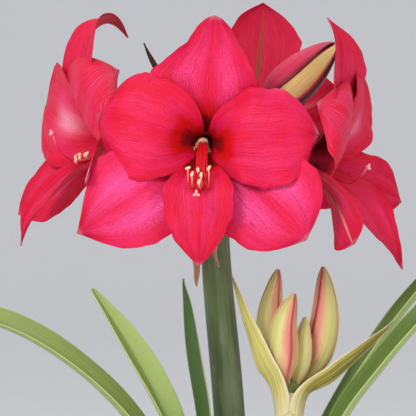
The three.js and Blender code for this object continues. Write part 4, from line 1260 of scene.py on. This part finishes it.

# %% Grow the leaves
# The mark after the fold in each entry lightens a leaf, or darkens it below zero: painted light and shade,
# not its own green
LEAVES = {
    "left_long": {"path": [(-38, 0, FOOT), (-43, -3, 205), (-88, -16, 280), (-135, -22, 323),
                           (-182, -24, 347), (-228, -22, 353), (-262, -18, 340), (-284, -14, 318)],
                  "width": 34, "faces": [(1, -0.1, 0.2), (0.5, -0.42, 0.95)], "fold": (30, 24),
                  "tone": 0.1, "rounded": 0.8},
    "left_middle": {"path": [(-30, -3, FOOT), (-33.5, -7, 205), (-56, -24, 277), (-82, -34, 329),
                             (-109, -40, 373)],
                    "width": 32, "faces": [(1, -0.2, 0), (0.75, -0.85, 0.3)], "fold": (30, 30),
                    "tone": 1.0, "rounded": 0.9},
    "left_narrow": {"path": [(-22, -6, FOOT), (-23.5, -9, 205), (-31, -22, 276), (-39, -26, 330),
                             (-42, -28, 380)],
                    "width": 26, "faces": [(1, -0.1, 0), (0.7, 0.5, 0.1)], "fold": (30, 30),
                    "tone": -1.5, "rounded": 0.5},
    "right_front": {"path": [(39.5, -3, FOOT), (48, -8, 205), (78, -24, 277), (103, -34, 313),
                             (132, -42, 349), (168, -46, 384), (212, -46, 408)],
                    "width": 32, "faces": [(-1, -0.1, 0.2), (-0.6, -0.4, 0.9)], "fold": (28, 30),
                    "tone": -0.1, "rounded": 0.8},
    "right_back": {"path": [(31, 10, FOOT), (39.5, 11, 205), (83, 12, 292), (114, 10, 340),
                            (138, 8, 371), (162, 6, 400), (184, 4, 424)],
                   "width": 30, "faces": [(-1, -0.1, 0.2), (-0.7, -0.2, 0.6)], "fold": (26, 30),
                   "tone": -0.3, "rounded": 0.8},
}
LEAF_STEPS = 120
LEAF_ACROSS = 24
LEAF_THICK = 2.4
LEAF_EDGE_THICK = 0.9
LEAF_RIPPLE = 0.25

def leaf_thickness():
    s, v = grid(LEAF_STEPS, LEAF_ACROSS)
    return lerp(LEAF_THICK, LEAF_EDGE_THICK, v * v) * lerp(1.3, 0.8, s)

for number, (leaf_name, leaf) in enumerate(LEAVES.items()):
    middle = strap_surface(leaf, LEAF_STEPS, LEAF_ACROSS, LEAF_RIPPLE, number)
    piece(f"leaf_{leaf_name}_blade", *sheet(middle, leaf_thickness()), LEAF_SKIN,
          f"leaf_{leaf_name}", "leaf_green", strap_marks(LEAF_STEPS, LEAF_ACROSS, number, tone=leaf["tone"]))
print("leaves:", len(LEAVES))

# %% Bract paint
VALVE_FOOT = rgb(222, 206, 160)
BRACT_TINTS = {
    "fresh": {"light": rgb(226, 216, 128), "dark": rgb(146, 130, 54), "rim": rgb(240, 228, 196)},
    "withered": {"light": rgb(240, 190, 150), "dark": rgb(186, 118, 80), "rim": rgb(250, 214, 184)},
    "dried": {"light": rgb(96, 54, 46), "dark": rgb(36, 18, 20), "rim": rgb(70, 36, 32)},
}

def bract_paint(name, light, dark, rim):
    paint = Paint(f"bract_{name}", Roughness=0.55, Specular_IOR_Level=0.3)
    along, across, seed = paint.marks("along", "across", "seed")
    ribs = paint.noise(paint.at(across * 9, along * 1.4, seed), 1.0, 3).step(0.32, 0.68)
    # Darker lines of painted shade in the creases
    crease_shade = paint.noise(paint.at(across * 3.2, along * 0.9, seed + 3), 1.0, 2).step(0.46, 0.62)
    shade = paint.mark("shade") * (abs(across).step(0.8, 0.3) * 0.5 + 0.2)
    colour = paint.blend(light, dark, ribs * 0.6 + crease_shade * 0.35 + shade)
    colour = paint.blend(colour, rim, (abs(across) + ribs * 0.1).step(0.84, 1.0) * 0.8)
    if name == "fresh":
        colour = paint.blend(colour, VALVE_FOOT, along.step(0.22, 0.03) * 0.85)
    paint.show("Base Color", colour)
    paint.relief(ribs, 0.4)
    return paint.finished()

BRACT_SKINS = {name: bract_paint(name, **tints) for name, tints in BRACT_TINTS.items()}

# %% Grow the bracts
BRACTS = {
    "spathe_left": {"path": [(28.55, -29.85, 287), (26, -33.5, 299), (16, -40, 319), (6, -38, 345),
                             (-1, -36, 366), (-7, -32, 384)],
                    "width": 19, "faces": [(0.6, 0.8, 0.1), (0.4, 0.85, 0.4)], "fold": (14, 30),
                    "base": 0.9, "shoulder": 0.3, "blunt": 1.1, "skin": "fresh", "slot": "spathe_green",
                    "clasp": 199},
    "spathe_right": {"path": [(42.95, -29.1, 287), (48, -31.5, 297), (68.5, -29, 310),
                              (88.5, -25, 326), (105, -21, 340), (113, -18, 348)],
                     "width": 14, "faces": [(-0.6, 0.8, 0.1), (-0.3, 0.9, 0.4)], "fold": (12, 30),
                     "base": 0.9, "shoulder": 0.4, "blunt": 1.4, "skin": "fresh",
                     "slot": "spathe_green", "clasp": 341, "shade": 1.0},
    "spathe_hanging": {"path": [(-34.9, 4, 427), (-35.3, 3, 412), (-34.5, 1, 392), (-32.6, 0, 373)],
                       "width": 10, "faces": [(1, 0, 0), (0.6, -0.8, 0)], "fold": (14, 40),
                       "skin": "withered", "slot": "spathe_withered"},
    "spathe_dried": {"path": [(-26, 19.75, 424), (-29, 28, 446), (-48, 35, 500), (-73, 30, 558)],
                     "width": 11, "faces": [(0.3, -1, 0), (0.5, -0.8, 0.3)], "fold": (14, 60),
                     "skin": "dried", "slot": "spathe_dry"},
    "bracteole": {"path": [(-18, -8, 428), (-18, -9.4, 412), (-19, -9, 398), (-16, -9, 388)],
                  "width": 4, "faces": [(0, 1, 0), (0.6, 0.8, 0)], "fold": (10, 40),
                  "skin": "withered", "slot": "spathe_withered"},
}
BRACT_STEPS = 72
BRACT_ACROSS = 20
BRACT_THICK = 0.7
BRACT_RIPPLE = 0.45
CLASP_LOW = 283
CLASP_RISE = 58
CLASP_SPREAD = 73
CLASP_ENDS = 0.3
CLASP_DIP = 7
CLASP_R = (10.2, 12.2)

def clasped(surface, facing):
    """Wraps the foot of a valve round the head of the short scape, on the side that it faces."""
    s, v = grid(BRACT_STEPS, BRACT_ACROSS)
    turn = np.radians(facing - v * CLASP_SPREAD)
    radius = lerp(*CLASP_R, smooth(s / 0.16)) + 0.15 * np.cos(9 * v)
    height = CLASP_LOW + CLASP_RISE * s - CLASP_DIP * (1 - v * v) * smooth(1 - s / 0.3)
    arc = oval(radius, radius, turn, height) + [*SHORT[-1][:2], 0]
    return lerp(arc, surface, smooth(s / CLASP_ENDS)[..., None])

for number, (bract_name, bract) in enumerate(BRACTS.items()):
    middle = strap_surface(bract, BRACT_STEPS, BRACT_ACROSS, BRACT_RIPPLE, number + 2)
    if "clasp" in bract:
        middle = clasped(middle, bract["clasp"])
    marks = strap_marks(BRACT_STEPS, BRACT_ACROSS, number, shade=bract.get("shade", 0))
    piece(f"{bract_name}_valve", *sheet(middle, BRACT_THICK), BRACT_SKINS[bract["skin"]], bract_name,
          bract["slot"], marks)
print("bracts:", len(BRACTS))

# %% [markdown]
# ## The bulb
#
# The bulb stands half out of the soil, and its broad neck holds every leaf and both scapes. Its skin
# is a brown tunic: papery old scales, split along their fibres and torn at the top. One smooth body
# would look like a pebble, so the body gets low lengthwise ribs, loose sheets of tunic are wrapped
# round it with ragged upper edges, and pale old leaf bases stand in rows on the top of the neck.

# %% Bulb paint
TUNIC_TAN = rgb(176, 112, 62)
TUNIC_BROWN = rgb(120, 62, 32)
TUNIC_DARK = rgb(66, 32, 20)
SCALE_CREAM = rgb(206, 200, 140)

def tunic_paint():
    paint = Paint("tunic", Roughness=0.5, Specular_IOR_Level=0.4)
    along, across, seed = paint.marks("along", "across", "seed")
    fibres = paint.noise(paint.at(across * 60, along * 2.5, seed), 1.0, 4).step(0.3, 0.7)
    patches = paint.noise(paint.at(across * 7, along * 3, seed), 1.0, 4).step(0.35, 0.68)
    sheets = paint.noise(paint.at(across * 2.5, along * 1.2, seed * 3.7), 1.0, 2).step(0.35, 0.65)
    colour = paint.blend(TUNIC_TAN, TUNIC_BROWN, fibres * 0.35 + sheets * 0.6)
    colour = paint.blend(colour, TUNIC_DARK, (1 - patches) * fibres * 0.5 + sheets * patches * 0.35)
    colour = paint.blend(colour, TUNIC_TAN, along.step(0.9, 1.0) * 0.5)
    colour = paint.blend(colour, SCALE_CREAM, paint.mark("fresh") * (0.5 + fibres * 0.5))
    paint.show("Base Color", colour)
    paint.show("Roughness", 0.34 + patches * 0.25)
    paint.relief(fibres, 0.25)
    return paint.finished()

TUNIC = tunic_paint()

# %% Body of the bulb
BULB_PROFILE = [(78, 20, 20), (84, 36, 36), (98, 48, 48), (128, 54, 53), (150, 52.5, 48), (168, 50, 39),
                (180, 49, 34), (185, 47.5, 32)]
BULB_SIDES = 144
BULB_STEPS = 60
NECK_RINGS = [(0.99, 186), (0.965, 185.4), (0.93, 182.6), (0.88, 182.2), (0.83, 184), (0.8, 183),
              (0.74, 181.4), (0.68, 182.8), (0.6, 181.2), (0.45, 181.8), (0.25, 181.6)]
RIB_COUNTS = (5, 9, 16, 27)
FRESH_RINGS = 4
NECK_FRESH = 0.9
BULB_SAMPLES = 200
BULB_LINE, _ = route([(a, b, z) for z, a, b in BULB_PROFILE], BULB_SAMPLES)

def bulb_oval(height):
    """Half widths along x and y of the bulb's outline at a height."""
    return [np.interp(height, BULB_LINE[:, 2], BULB_LINE[:, i]) for i in range(2)]

def bulb_body(random):
    """The bulb's own rings, low ribs and all, and last those that sink into its neck."""
    up, turn = np.linspace(0, 1, BULB_STEPS + 1)[:, None], full_turn(BULB_SIDES)
    samples = np.arange(BULB_SAMPLES + 1)
    a, b, z = (np.interp(up * BULB_SAMPLES, samples, BULB_LINE[:, i]) for i in range(3))
    ribs = sum(random.uniform(0.15, 0.4) * np.cos(n * turn + random.uniform(0, 6)) for n in RIB_COUNTS)
    grow = ribs * np.sin(np.pi * np.clip(up, 0.05, 0.9)) - 0.9
    rings = [*oval(a + grow, b + grow, turn, z)]
    for share, height in NECK_RINGS:
        ragged = 0.5 * np.cos(11 * turn + 20 * share) + 0.4 * np.cos(23 * turn + 50 * share)
        rings.append(oval(a[-1] * share, b[-1] * share, turn, height + ragged))
    points, faces = closed_tube(np.array(rings))
    neck = np.full(len(NECK_RINGS), NECK_FRESH)
    dry = np.zeros(len(up) - FRESH_RINGS)
    fresh = np.concatenate([dry, np.linspace(0, 0.5, FRESH_RINGS), neck])
    marks = tube_marks(np.append(up, neck), BULB_SIDES)
    marks["across"] = 2 * marks["across"]
    marks["fresh"] = tube_marks(fresh, BULB_SIDES)["along"]
    marks["seed"] = np.zeros(len(points))
    return points, faces, marks

random = np.random.default_rng(11)
points, faces, marks = bulb_body(random)
piece("bulb_body", points, faces, TUNIC, "bulb", "bulb_tunic", marks)
print("bulb body:", len(faces), "faces")

# %% Loose sheets of tunic
TUNIC_SHEETS = [  # middle and half spread in degrees, top height, how far it stands off at the top
    (252, 74, 178, 0.6), (305, 62, 174, 1.6), (350, 56, 179, 0.8), (30, 60, 175, 1.8), (80, 64, 178, 0.6),
    (128, 58, 173, 1.6), (172, 60, 179, 0.8), (214, 52, 170, 2.2), (282, 44, 162, 2.6), (330, 30, 156, 3.4),
]
SHEET_UP = 44
SHEET_ACROSS = 90
SHEET_FOOT = 112
SHEET_THICK = 0.35
SPLITS = 4
TORN_WAVES = [(3, 2.2), (7, 1.4), (17, 0.6), (43, 0.35)]

def torn_edge(v, random):
    """How far below its full height a tunic ends: broad waves, fine teeth and a few deep splits."""
    waves = sum(a * np.cos(n * v + random.uniform(0, 6)) for n, a in TORN_WAVES)
    splits = np.zeros_like(v)
    for _ in range(SPLITS):
        place, depth, wide = random.uniform(-0.9, 0.9), random.uniform(5, 22), random.uniform(0.012, 0.035)
        splits = splits + depth * np.clip(1 - np.abs(v - place) / wide, 0, 1) ** 0.7
    return 3 - waves + splits + 12 * np.abs(v) ** 4

def tunic_sheet(middle, spread, top, flare, number, random):
    """A papery scale that hugs the bulb, with a torn upper edge."""
    s, v = grid(SHEET_UP, SHEET_ACROSS)
    height = lerp(SHEET_FOOT, top - torn_edge(v, random), s)
    a, b = bulb_oval(height)
    turn = np.radians(middle + v * spread)
    wave = 0.3 * np.sin(13 * v + number) * smooth(s) + 0.15 * np.sin(37 * v + 2 * number + 2 * s)
    curl = flare * smooth((s - 0.6) / 0.4) * (0.4 + 0.6 * np.sin(5 * v + number) ** 2)
    lift = 0.3 + 0.22 * (number % 4) + wave + curl
    return oval(a + lift, b + lift, turn, height)

s, v = grid(SHEET_UP, SHEET_ACROSS)
for number, (middle, spread, top, flare) in enumerate(TUNIC_SHEETS):
    surface = tunic_sheet(middle, spread, top, flare, number, random)
    marks = sheet_marks(s, v * spread / 180, seed=number + 1, fresh=0.15 * smooth((s - 0.9) / 0.1))
    piece(f"tunic_sheet_{number + 1}", *sheet(surface, SHEET_THICK), TUNIC, "bulb", "bulb_tunic", marks)
print("tunic sheets:", len(TUNIC_SHEETS))

# %% Old leaf bases on the neck
NECK_Z = 180.5
NECK_SCALES = [  # middle and half spread in degrees, share of the neck's outline, height
    (200, 84, 0.97, 8.5), (20, 80, 0.96, 7.5), (112, 62, 0.93, 7), (292, 66, 0.92, 7.5),
    (250, 72, 0.82, 7.5), (62, 76, 0.8, 7.5), (160, 62, 0.78, 6.5), (330, 70, 0.68, 7),
    (118, 74, 0.62, 6.5), (215, 60, 0.6, 6), (14, 56, 0.46, 6.5), (190, 80, 0.4, 5.5),
]
BASE_UP = 12
BASE_THICK = (1.1, 0.4)

def leaf_base(middle, spread, share, height, number, random):
    """A withered leaf base that stands on the neck and leans out, thin and torn at its top."""
    s, v = grid(BASE_UP, SHEET_ACROSS)
    torn = 0.25 * torn_edge(v, random) + 0.6 * height * np.abs(v) ** 5
    turn = np.radians(middle + v * spread)
    lean = 1.8 * s**1.6 + 0.5 * np.sin(9 * v + number) * s
    a, b = (half * share + lean for half in BULB_LINE[-1, :2])
    return oval(a, b, turn, NECK_Z + (height - torn) * s)

s, v = grid(BASE_UP, SHEET_ACROSS)
for number, (middle, spread, share, height) in enumerate(NECK_SCALES):
    surface = leaf_base(middle, spread, share, height, number, random)
    marks = sheet_marks(0.6 + 0.4 * s, v * spread / 180 * share, seed=number + 20,
                        fresh=lerp(0.95, 0.2, share) * lerp(1, 0.5, smooth(s)))
    piece(f"leaf_base_{number + 1}", *sheet(surface, lerp(*BASE_THICK, s)), TUNIC, "bulb",
          "bulb_tunic", marks)
print("old leaf bases:", len(NECK_SCALES))

# %% [markdown]
# ## The pot
#
# A plain thrown clay pot with a thick rim band. Turning it on a wheel leaves faint rings in the wall,
# and water leaves pale bloom on the clay. A cylinder primitive would have none of the small rounds
# that catch light, so the pot is a profile, drawn once with a short bend at every corner, and spun.
# The four drain holes are cut out with a boolean, which is the one place here where it is simpler.

# %% Clay paint
CLAY = rgb(184, 104, 70)
CLAY_LIGHT = rgb(206, 140, 104)
CLAY_DARK = rgb(142, 74, 48)
MINERAL = rgb(226, 210, 190)

def clay_paint():
    paint = Paint("clay", Roughness=0.85, Specular_IOR_Level=0.2)
    place = paint.object_place
    height = paint.node("SeparateXYZ", {}, {"Vector": place}, "Z")
    clouds = paint.noise(place, 22, 4).step(0.35, 0.68)
    grains = paint.noise(place, 1500, 3).step(0.35, 0.7)
    turning = paint.noise(paint.at(0, 0, height), 420, 4, 0.7)
    clay = paint.blend(CLAY, CLAY_LIGHT, clouds * 0.7 + turning.step(0.4, 0.65) * 0.3)
    colour = paint.blend(clay, CLAY_DARK, grains * 0.3 + turning.step(0.5, 0.3) * 0.3)
    # Darker towards the bottom of the pot
    lower_darkening = (height + clouds * 0.03).step(0.05, 0.0) * 0.45
    colour = paint.blend(colour, CLAY_DARK, lower_darkening)
    bloom = paint.noise(place, 34, 6, 0.65).step(0.56, 0.72) * (height.step(0.0, 0.12) * 0.35 + 0.12)
    colour = paint.blend(colour, MINERAL, bloom)
    paint.show("Base Color", colour)
    paint.relief(turning * 1.6 + grains * 0.2 + bloom * 0.3, 0.45)
    return paint.finished()

CLAY_FINISH = clay_paint()

# %% Throw the pot
POT_HEIGHT = 148
POT_BASE_R = 59
POT_RIM_R = 84
POT_WALL = 6
POT_FLOOR = 7
RIM_BAND = 30
RIM_PROUD = 4.5
POT_SIDES = 160
POT_UNEVEN = 0.12
DRAIN_R = 5
DRAIN_RING_R = 30
DRAINS = 4
PIN_SIDES = 32
PIN_SPARE = 3

def wall_r(z):
    return lerp(POT_BASE_R, POT_RIM_R - RIM_PROUD, z / POT_HEIGHT)

def inner_r(z):
    return wall_r(z) - POT_WALL

BAND_Z = POT_HEIGHT - RIM_BAND
POT_CORNERS = [  # radius, height and how far the corner is rounded
    (POT_BASE_R, 0, 2.5), (wall_r(BAND_Z), BAND_Z, 1.2), (wall_r(BAND_Z) + RIM_PROUD, BAND_Z + 1.5, 1.5),
    (POT_RIM_R, POT_HEIGHT, 2.6), (inner_r(POT_HEIGHT), POT_HEIGHT, 2.2), (inner_r(POT_FLOOR), POT_FLOOR, 5),
]

BEND_PARTS = 6
LONGEST_STRETCH = 5.0

def rounded(corners, start, end):
    """A profile through corners, each replaced by a short bend."""
    line = [np.array(start, float)]
    ends = [start, *[corner[:2] for corner in corners], end]
    for before, (r, z, bend), after in zip(ends, corners, ends[2:]):
        corner = np.array([r, z], float)
        come = corner + unit(np.array(before, float) - corner) * bend
        go = corner + unit(np.array(after, float) - corner) * bend
        for t in np.linspace(0, 1, BEND_PARTS + 1):
            line.append(lerp(lerp(come, corner, t), lerp(corner, go, t), t))
    return np.array([*line, np.array(end, float)])

def filled_in(line):
    """The same profile with long stretches divided."""
    out = [line[:1]]
    for a, b in zip(line, line[1:]):
        parts = max(1, math.ceil(np.linalg.norm(b - a) / LONGEST_STRETCH))
        out.append(lerp(a, b, np.linspace(0, 1, parts + 1)[1:, None]))
    return np.concatenate(out)

def spun(profile):
    """The profile turned about the pot's axis, a little out of round as thrown clay is."""
    turn = full_turn(POT_SIDES)
    wobble = POT_UNEVEN * (np.cos(2 * turn + 0.7) + 0.5 * np.cos(3 * turn))
    r = profile[:, :1] + wobble * smooth(profile[:, :1] / 40)
    return oval(r, r, turn, profile[:, 1:])

def drained(pot):
    """The pot with its drain holes cut out."""
    pins = []
    for k in range(DRAINS):
        foot = oval(DRAIN_RING_R, DRAIN_RING_R, 2 * math.pi * (k + 0.5) / DRAINS, -PIN_SPARE)
        places = foot + np.array([[0, 0, 0], [0, 0, POT_FLOOR + 2 * PIN_SPARE]])
        pins.append(closed_tube(tube(places, np.array([[0, 0, 1.0]] * 2), DRAIN_R, PIN_SIDES)))
    points, faces = gathered(pins)
    mesh = bpy.data.meshes.new("drain_pins")
    mesh.from_pydata((points * MM).tolist(), [], faces)
    cutter = bpy.data.objects.new("drain_pins", mesh)
    bpy.context.collection.objects.link(cutter)
    cut = pot.modifiers.new("drains", "BOOLEAN")
    cut.operation, cut.object, cut.solver = "DIFFERENCE", cutter, "EXACT"
    graph = bpy.context.evaluated_depsgraph_get()
    finished = bpy.data.meshes.new_from_object(pot.evaluated_get(graph))
    pot.modifiers.clear()
    pot.data = finished
    bpy.data.objects.remove(cutter)

profile = filled_in(rounded(POT_CORNERS, (1, 0), (1, POT_FLOOR)))
pot = piece("pot_thrown", *closed_tube(spun(profile)), CLAY_FINISH, "pot", "terracotta")
drained(pot)
print("pot faces:", len(pot.data.polygons))

# %% [markdown]
# ## The soil
#
# Potting soil is crumbs, not a flat disc. Its top is a lumpy surface that rises a little towards the
# bulb, and loose crumbs, bits of bark and a few white grains lie on it. Bump alone would look flat
# where the crumbs meet the rim, so the crumbs are small solids, scattered by a seeded generator.

# %% Soil paint
SOIL_BROWN = rgb(62, 42, 30)
SOIL_BLACK = rgb(28, 20, 16)
BARK = rgb(120, 78, 48)
GRAIN_WHITE = rgb(226, 222, 210)

def soil_paint():
    paint = Paint("soil", Roughness=0.95, Specular_IOR_Level=0.15)
    place = paint.object_place
    crumbs = paint.noise(place, 260, 5, 0.6).step(0.35, 0.65)
    specks = paint.noise(place, 900, 2).step(0.6, 0.7)
    colour = paint.blend(SOIL_BLACK, SOIL_BROWN, crumbs)
    colour = paint.blend(colour, BARK, paint.mark("bark") * 0.85 + specks * 0.25)
    colour = paint.blend(colour, GRAIN_WHITE, paint.mark("grain"))
    paint.show("Base Color", colour)
    paint.relief(crumbs + specks * 0.3, 1.0)
    return paint.finished()

SOIL_FINISH = soil_paint()

# %% Bed of soil
SOIL_TOP = 134
SOIL_RISE = 2.4
SOIL_GAP = 0.3
SOIL_PIT = 79
SOIL_SIDES = 180
WALL_RINGS = 8
TOP_RINGS = 40
PIT_RINGS = 14
LUMP_WAVES = [(34, 0.7), (19, 0.6), (11, 0.45), (6.5, 0.35), (6.0, 0.3), (4.2, 0.25)]
LUMP_SEED = 3

def lumps(x, y):
    """Low lumps in millimetres: waves of set lengths and random directions, laid over each other."""
    random = np.random.default_rng(LUMP_SEED)
    total = np.zeros_like(x)
    for length, height in LUMP_WAVES:
        for _ in range(3):
            turn, shift = random.uniform(0, 2 * np.pi, 2)
            distance = x * math.cos(turn) + y * math.sin(turn)
            total = total + height / 2 * np.sin(distance * 2 * np.pi / length + shift)
    return total

def soil_bed():
    """Rings up the pot's wall, over the top of the soil and down into the pit of the bulb."""
    turn = full_turn(SOIL_SIDES)
    rings = []
    for z in np.linspace(POT_FLOOR + SOIL_GAP, SOIL_TOP - 1, WALL_RINGS):
        rings.append(oval(inner_r(z) - SOIL_GAP, inner_r(z) - SOIL_GAP, turn, z))
    outer = inner_r(SOIL_TOP) - SOIL_GAP
    inner = [half + SOIL_GAP for half in bulb_oval(SOIL_TOP + 2)]
    for t in np.linspace(0, 1, TOP_RINGS + 1):
        a, b = (lerp(outer, half, t) for half in inner)
        top = oval(a, b, turn, SOIL_TOP + SOIL_RISE * smooth(t))
        top[:, 2] += lumps(top[:, 0], top[:, 1]) * smooth(min(t, 1 - t) * 12)
        rings.append(top)
    for z in np.linspace(SOIL_TOP - 2, SOIL_PIT, PIT_RINGS):
        a, b = bulb_oval(z)
        rings.append(oval(a + SOIL_GAP, b + SOIL_GAP, turn, z - SOIL_GAP))
    points, faces = closed_tube(np.array(rings))
    nothing = np.zeros(len(points))
    return points, faces, {"bark": nothing, "grain": nothing}

points, faces, marks = soil_bed()
piece("soil_bed", points, faces, SOIL_FINISH, "soil", "potting_soil", marks)
print("soil bed:", len(faces), "faces")

# %% Crumbs
CRUMBS = 1500
BARK_SHARE = 0.16
WHITE_SHARE = 0.05
GOLDEN = (1 + 5**0.5) / 2
CRUMB_POINTS = np.array([(-1, GOLDEN, 0), (1, GOLDEN, 0), (-1, -GOLDEN, 0), (1, -GOLDEN, 0),
                         (0, -1, GOLDEN), (0, 1, GOLDEN), (0, -1, -GOLDEN), (0, 1, -GOLDEN),
                         (GOLDEN, 0, -1), (GOLDEN, 0, 1), (-GOLDEN, 0, -1), (-GOLDEN, 0, 1)]) / 1.9
CRUMB_FACES = [(0, 11, 5), (0, 5, 1), (0, 1, 7), (0, 7, 10), (0, 10, 11), (1, 5, 9), (5, 11, 4),
               (11, 10, 2), (10, 7, 6), (7, 1, 8), (3, 9, 4), (3, 4, 2), (3, 2, 6), (3, 6, 8),
               (3, 8, 9), (4, 9, 5), (2, 4, 11), (6, 2, 10), (8, 6, 7), (9, 8, 1)]

def crumb(random):
    """One crumb: its points and its share of bark and of white."""
    turn = random.uniform(0, 2 * np.pi)
    t = random.uniform(0.06, 0.96)
    a, b = (lerp(inner_r(SOIL_TOP) - 2, half + 2, t) for half in bulb_oval(SOIL_TOP + 2))
    place = oval(a, b, turn, SOIL_TOP + SOIL_RISE * smooth(t))
    place[2] += lumps(place[0], place[1])
    kind = random.uniform()
    bark, grain = float(kind < BARK_SHARE), float(kind > 1 - WHITE_SHARE)
    size = random.uniform(0.5, 1.5) * (1.5 if bark else 1.0) * (0.8 if grain else 1.0)
    stretch = size * np.array([random.uniform(0.7, 2.2 if bark else 1.3), random.uniform(0.6, 1.1), 0.7])
    points = CRUMB_POINTS * random.uniform(0.75, 1.15, (len(CRUMB_POINTS), 1)) * stretch
    c, s = math.cos(turn * 5), math.sin(turn * 5)
    points = points @ np.array([[c, s, 0], [-s, c, 0], [0, 0, 1]])
    return points + place + [0, 0, 0.2 * size], bark, grain

random = np.random.default_rng(5)
parts, bark, grain = [], [], []
for _ in range(CRUMBS):
    points, is_bark, is_grain = crumb(random)
    parts.append((points, CRUMB_FACES))
    bark += [is_bark] * len(points)
    grain += [is_grain] * len(points)
piece("soil_crumbs", *gathered(parts), SOIL_FINISH, "soil", "potting_soil", {"bark": bark, "grain": grain})
print("crumbs:", CRUMBS)

# %% [markdown]
# ## Floor and light
#
# The studio is plain: a pale floor that sweeps up into a round wall far away, so no horizon line cuts
# the picture from any side. A big soft lamp in front, high on the left, shapes the petals. A weaker
# one on the right keeps the shadows open, and the pale sky above fills the rest.

# %% The sweep
FLOOR_R = 6.0
SWEEP_R = 2.5
WALL_TOP = 5.0
FLAT_R = 1.5
SWEEP_SIDES = 96
SWEEP_BENDS = 15

def stage_sweep():
    profile = [(FLAT_R, 0), (FLOOR_R, 0)]
    for bend in np.linspace(0, math.pi / 2, SWEEP_BENDS + 1)[1:]:
        profile.append((FLOOR_R + SWEEP_R * math.sin(bend), SWEEP_R * (1 - math.cos(bend))))
    profile.append((FLOOR_R + SWEEP_R, WALL_TOP))
    rings = np.array([oval(r, r, full_turn(SWEEP_SIDES), z) for r, z in profile])
    ids = np.arange(len(profile) * SWEEP_SIDES).reshape(-1, SWEEP_SIDES)
    faces = quads(np.concatenate([ids, ids[:, :1]], axis=1))[:, ::-1].tolist() + [ids[0].tolist()]
    mesh = bpy.data.meshes.new("stage_sweep")
    mesh.from_pydata(rings.reshape(-1, 3).tolist(), [], faces)
    mesh.shade_smooth()
    return bpy.data.objects.new("stage_sweep", mesh)

sweep = stage_sweep()
floor_paint = Paint("floor", Roughness=0.9, Specular_IOR_Level=0.1, Base_Color=rgb(246, 246, 247))
sweep.data.materials.append(floor_paint.finished())
bpy.context.collection.objects.link(sweep)

# %% The lamps
LAMPS = {
    "key": {"place": (-0.9, -1.7, 1.35), "aim": (-0.02, 0, 0.45), "watts": 24, "size": 0.6},
    "fill": {"place": (1.3, -1.5, 0.7), "aim": (0, 0, 0.42), "watts": 7, "size": 1.2},
    "top": {"place": (0.1, 0.5, 1.7), "aim": (0, 0, 0.5), "watts": 7, "size": 1.0},
}

def lamp(name, place, aim, watts, size):
    light = bpy.data.lights.new(name, "AREA")
    light.energy = watts
    light.size = size
    made = bpy.data.objects.new(name, light)
    made.location = place
    away = np.array(place, float) - np.array(aim, float)
    flat = math.hypot(away[0], away[1])
    made.rotation_euler = (math.atan2(flat, away[2]), 0, math.atan2(away[1], away[0]) + math.pi / 2)
    made.visible_camera = False
    bpy.context.collection.objects.link(made)

for lamp_name, setting in LAMPS.items():
    lamp(lamp_name, **setting)

SKY_COLOUR = rgb(244, 246, 250)
SKY_STRENGTH = 0.66

sky = bpy.data.worlds.new("sky")
sky.use_nodes = True
shine = sky.node_tree.nodes["Background"]
shine.inputs["Color"].default_value = SKY_COLOUR
shine.inputs["Strength"].default_value = SKY_STRENGTH
bpy.context.scene.world = sky
bpy.context.scene.view_settings.view_transform = "Standard"
print("lamps:", len(LAMPS))
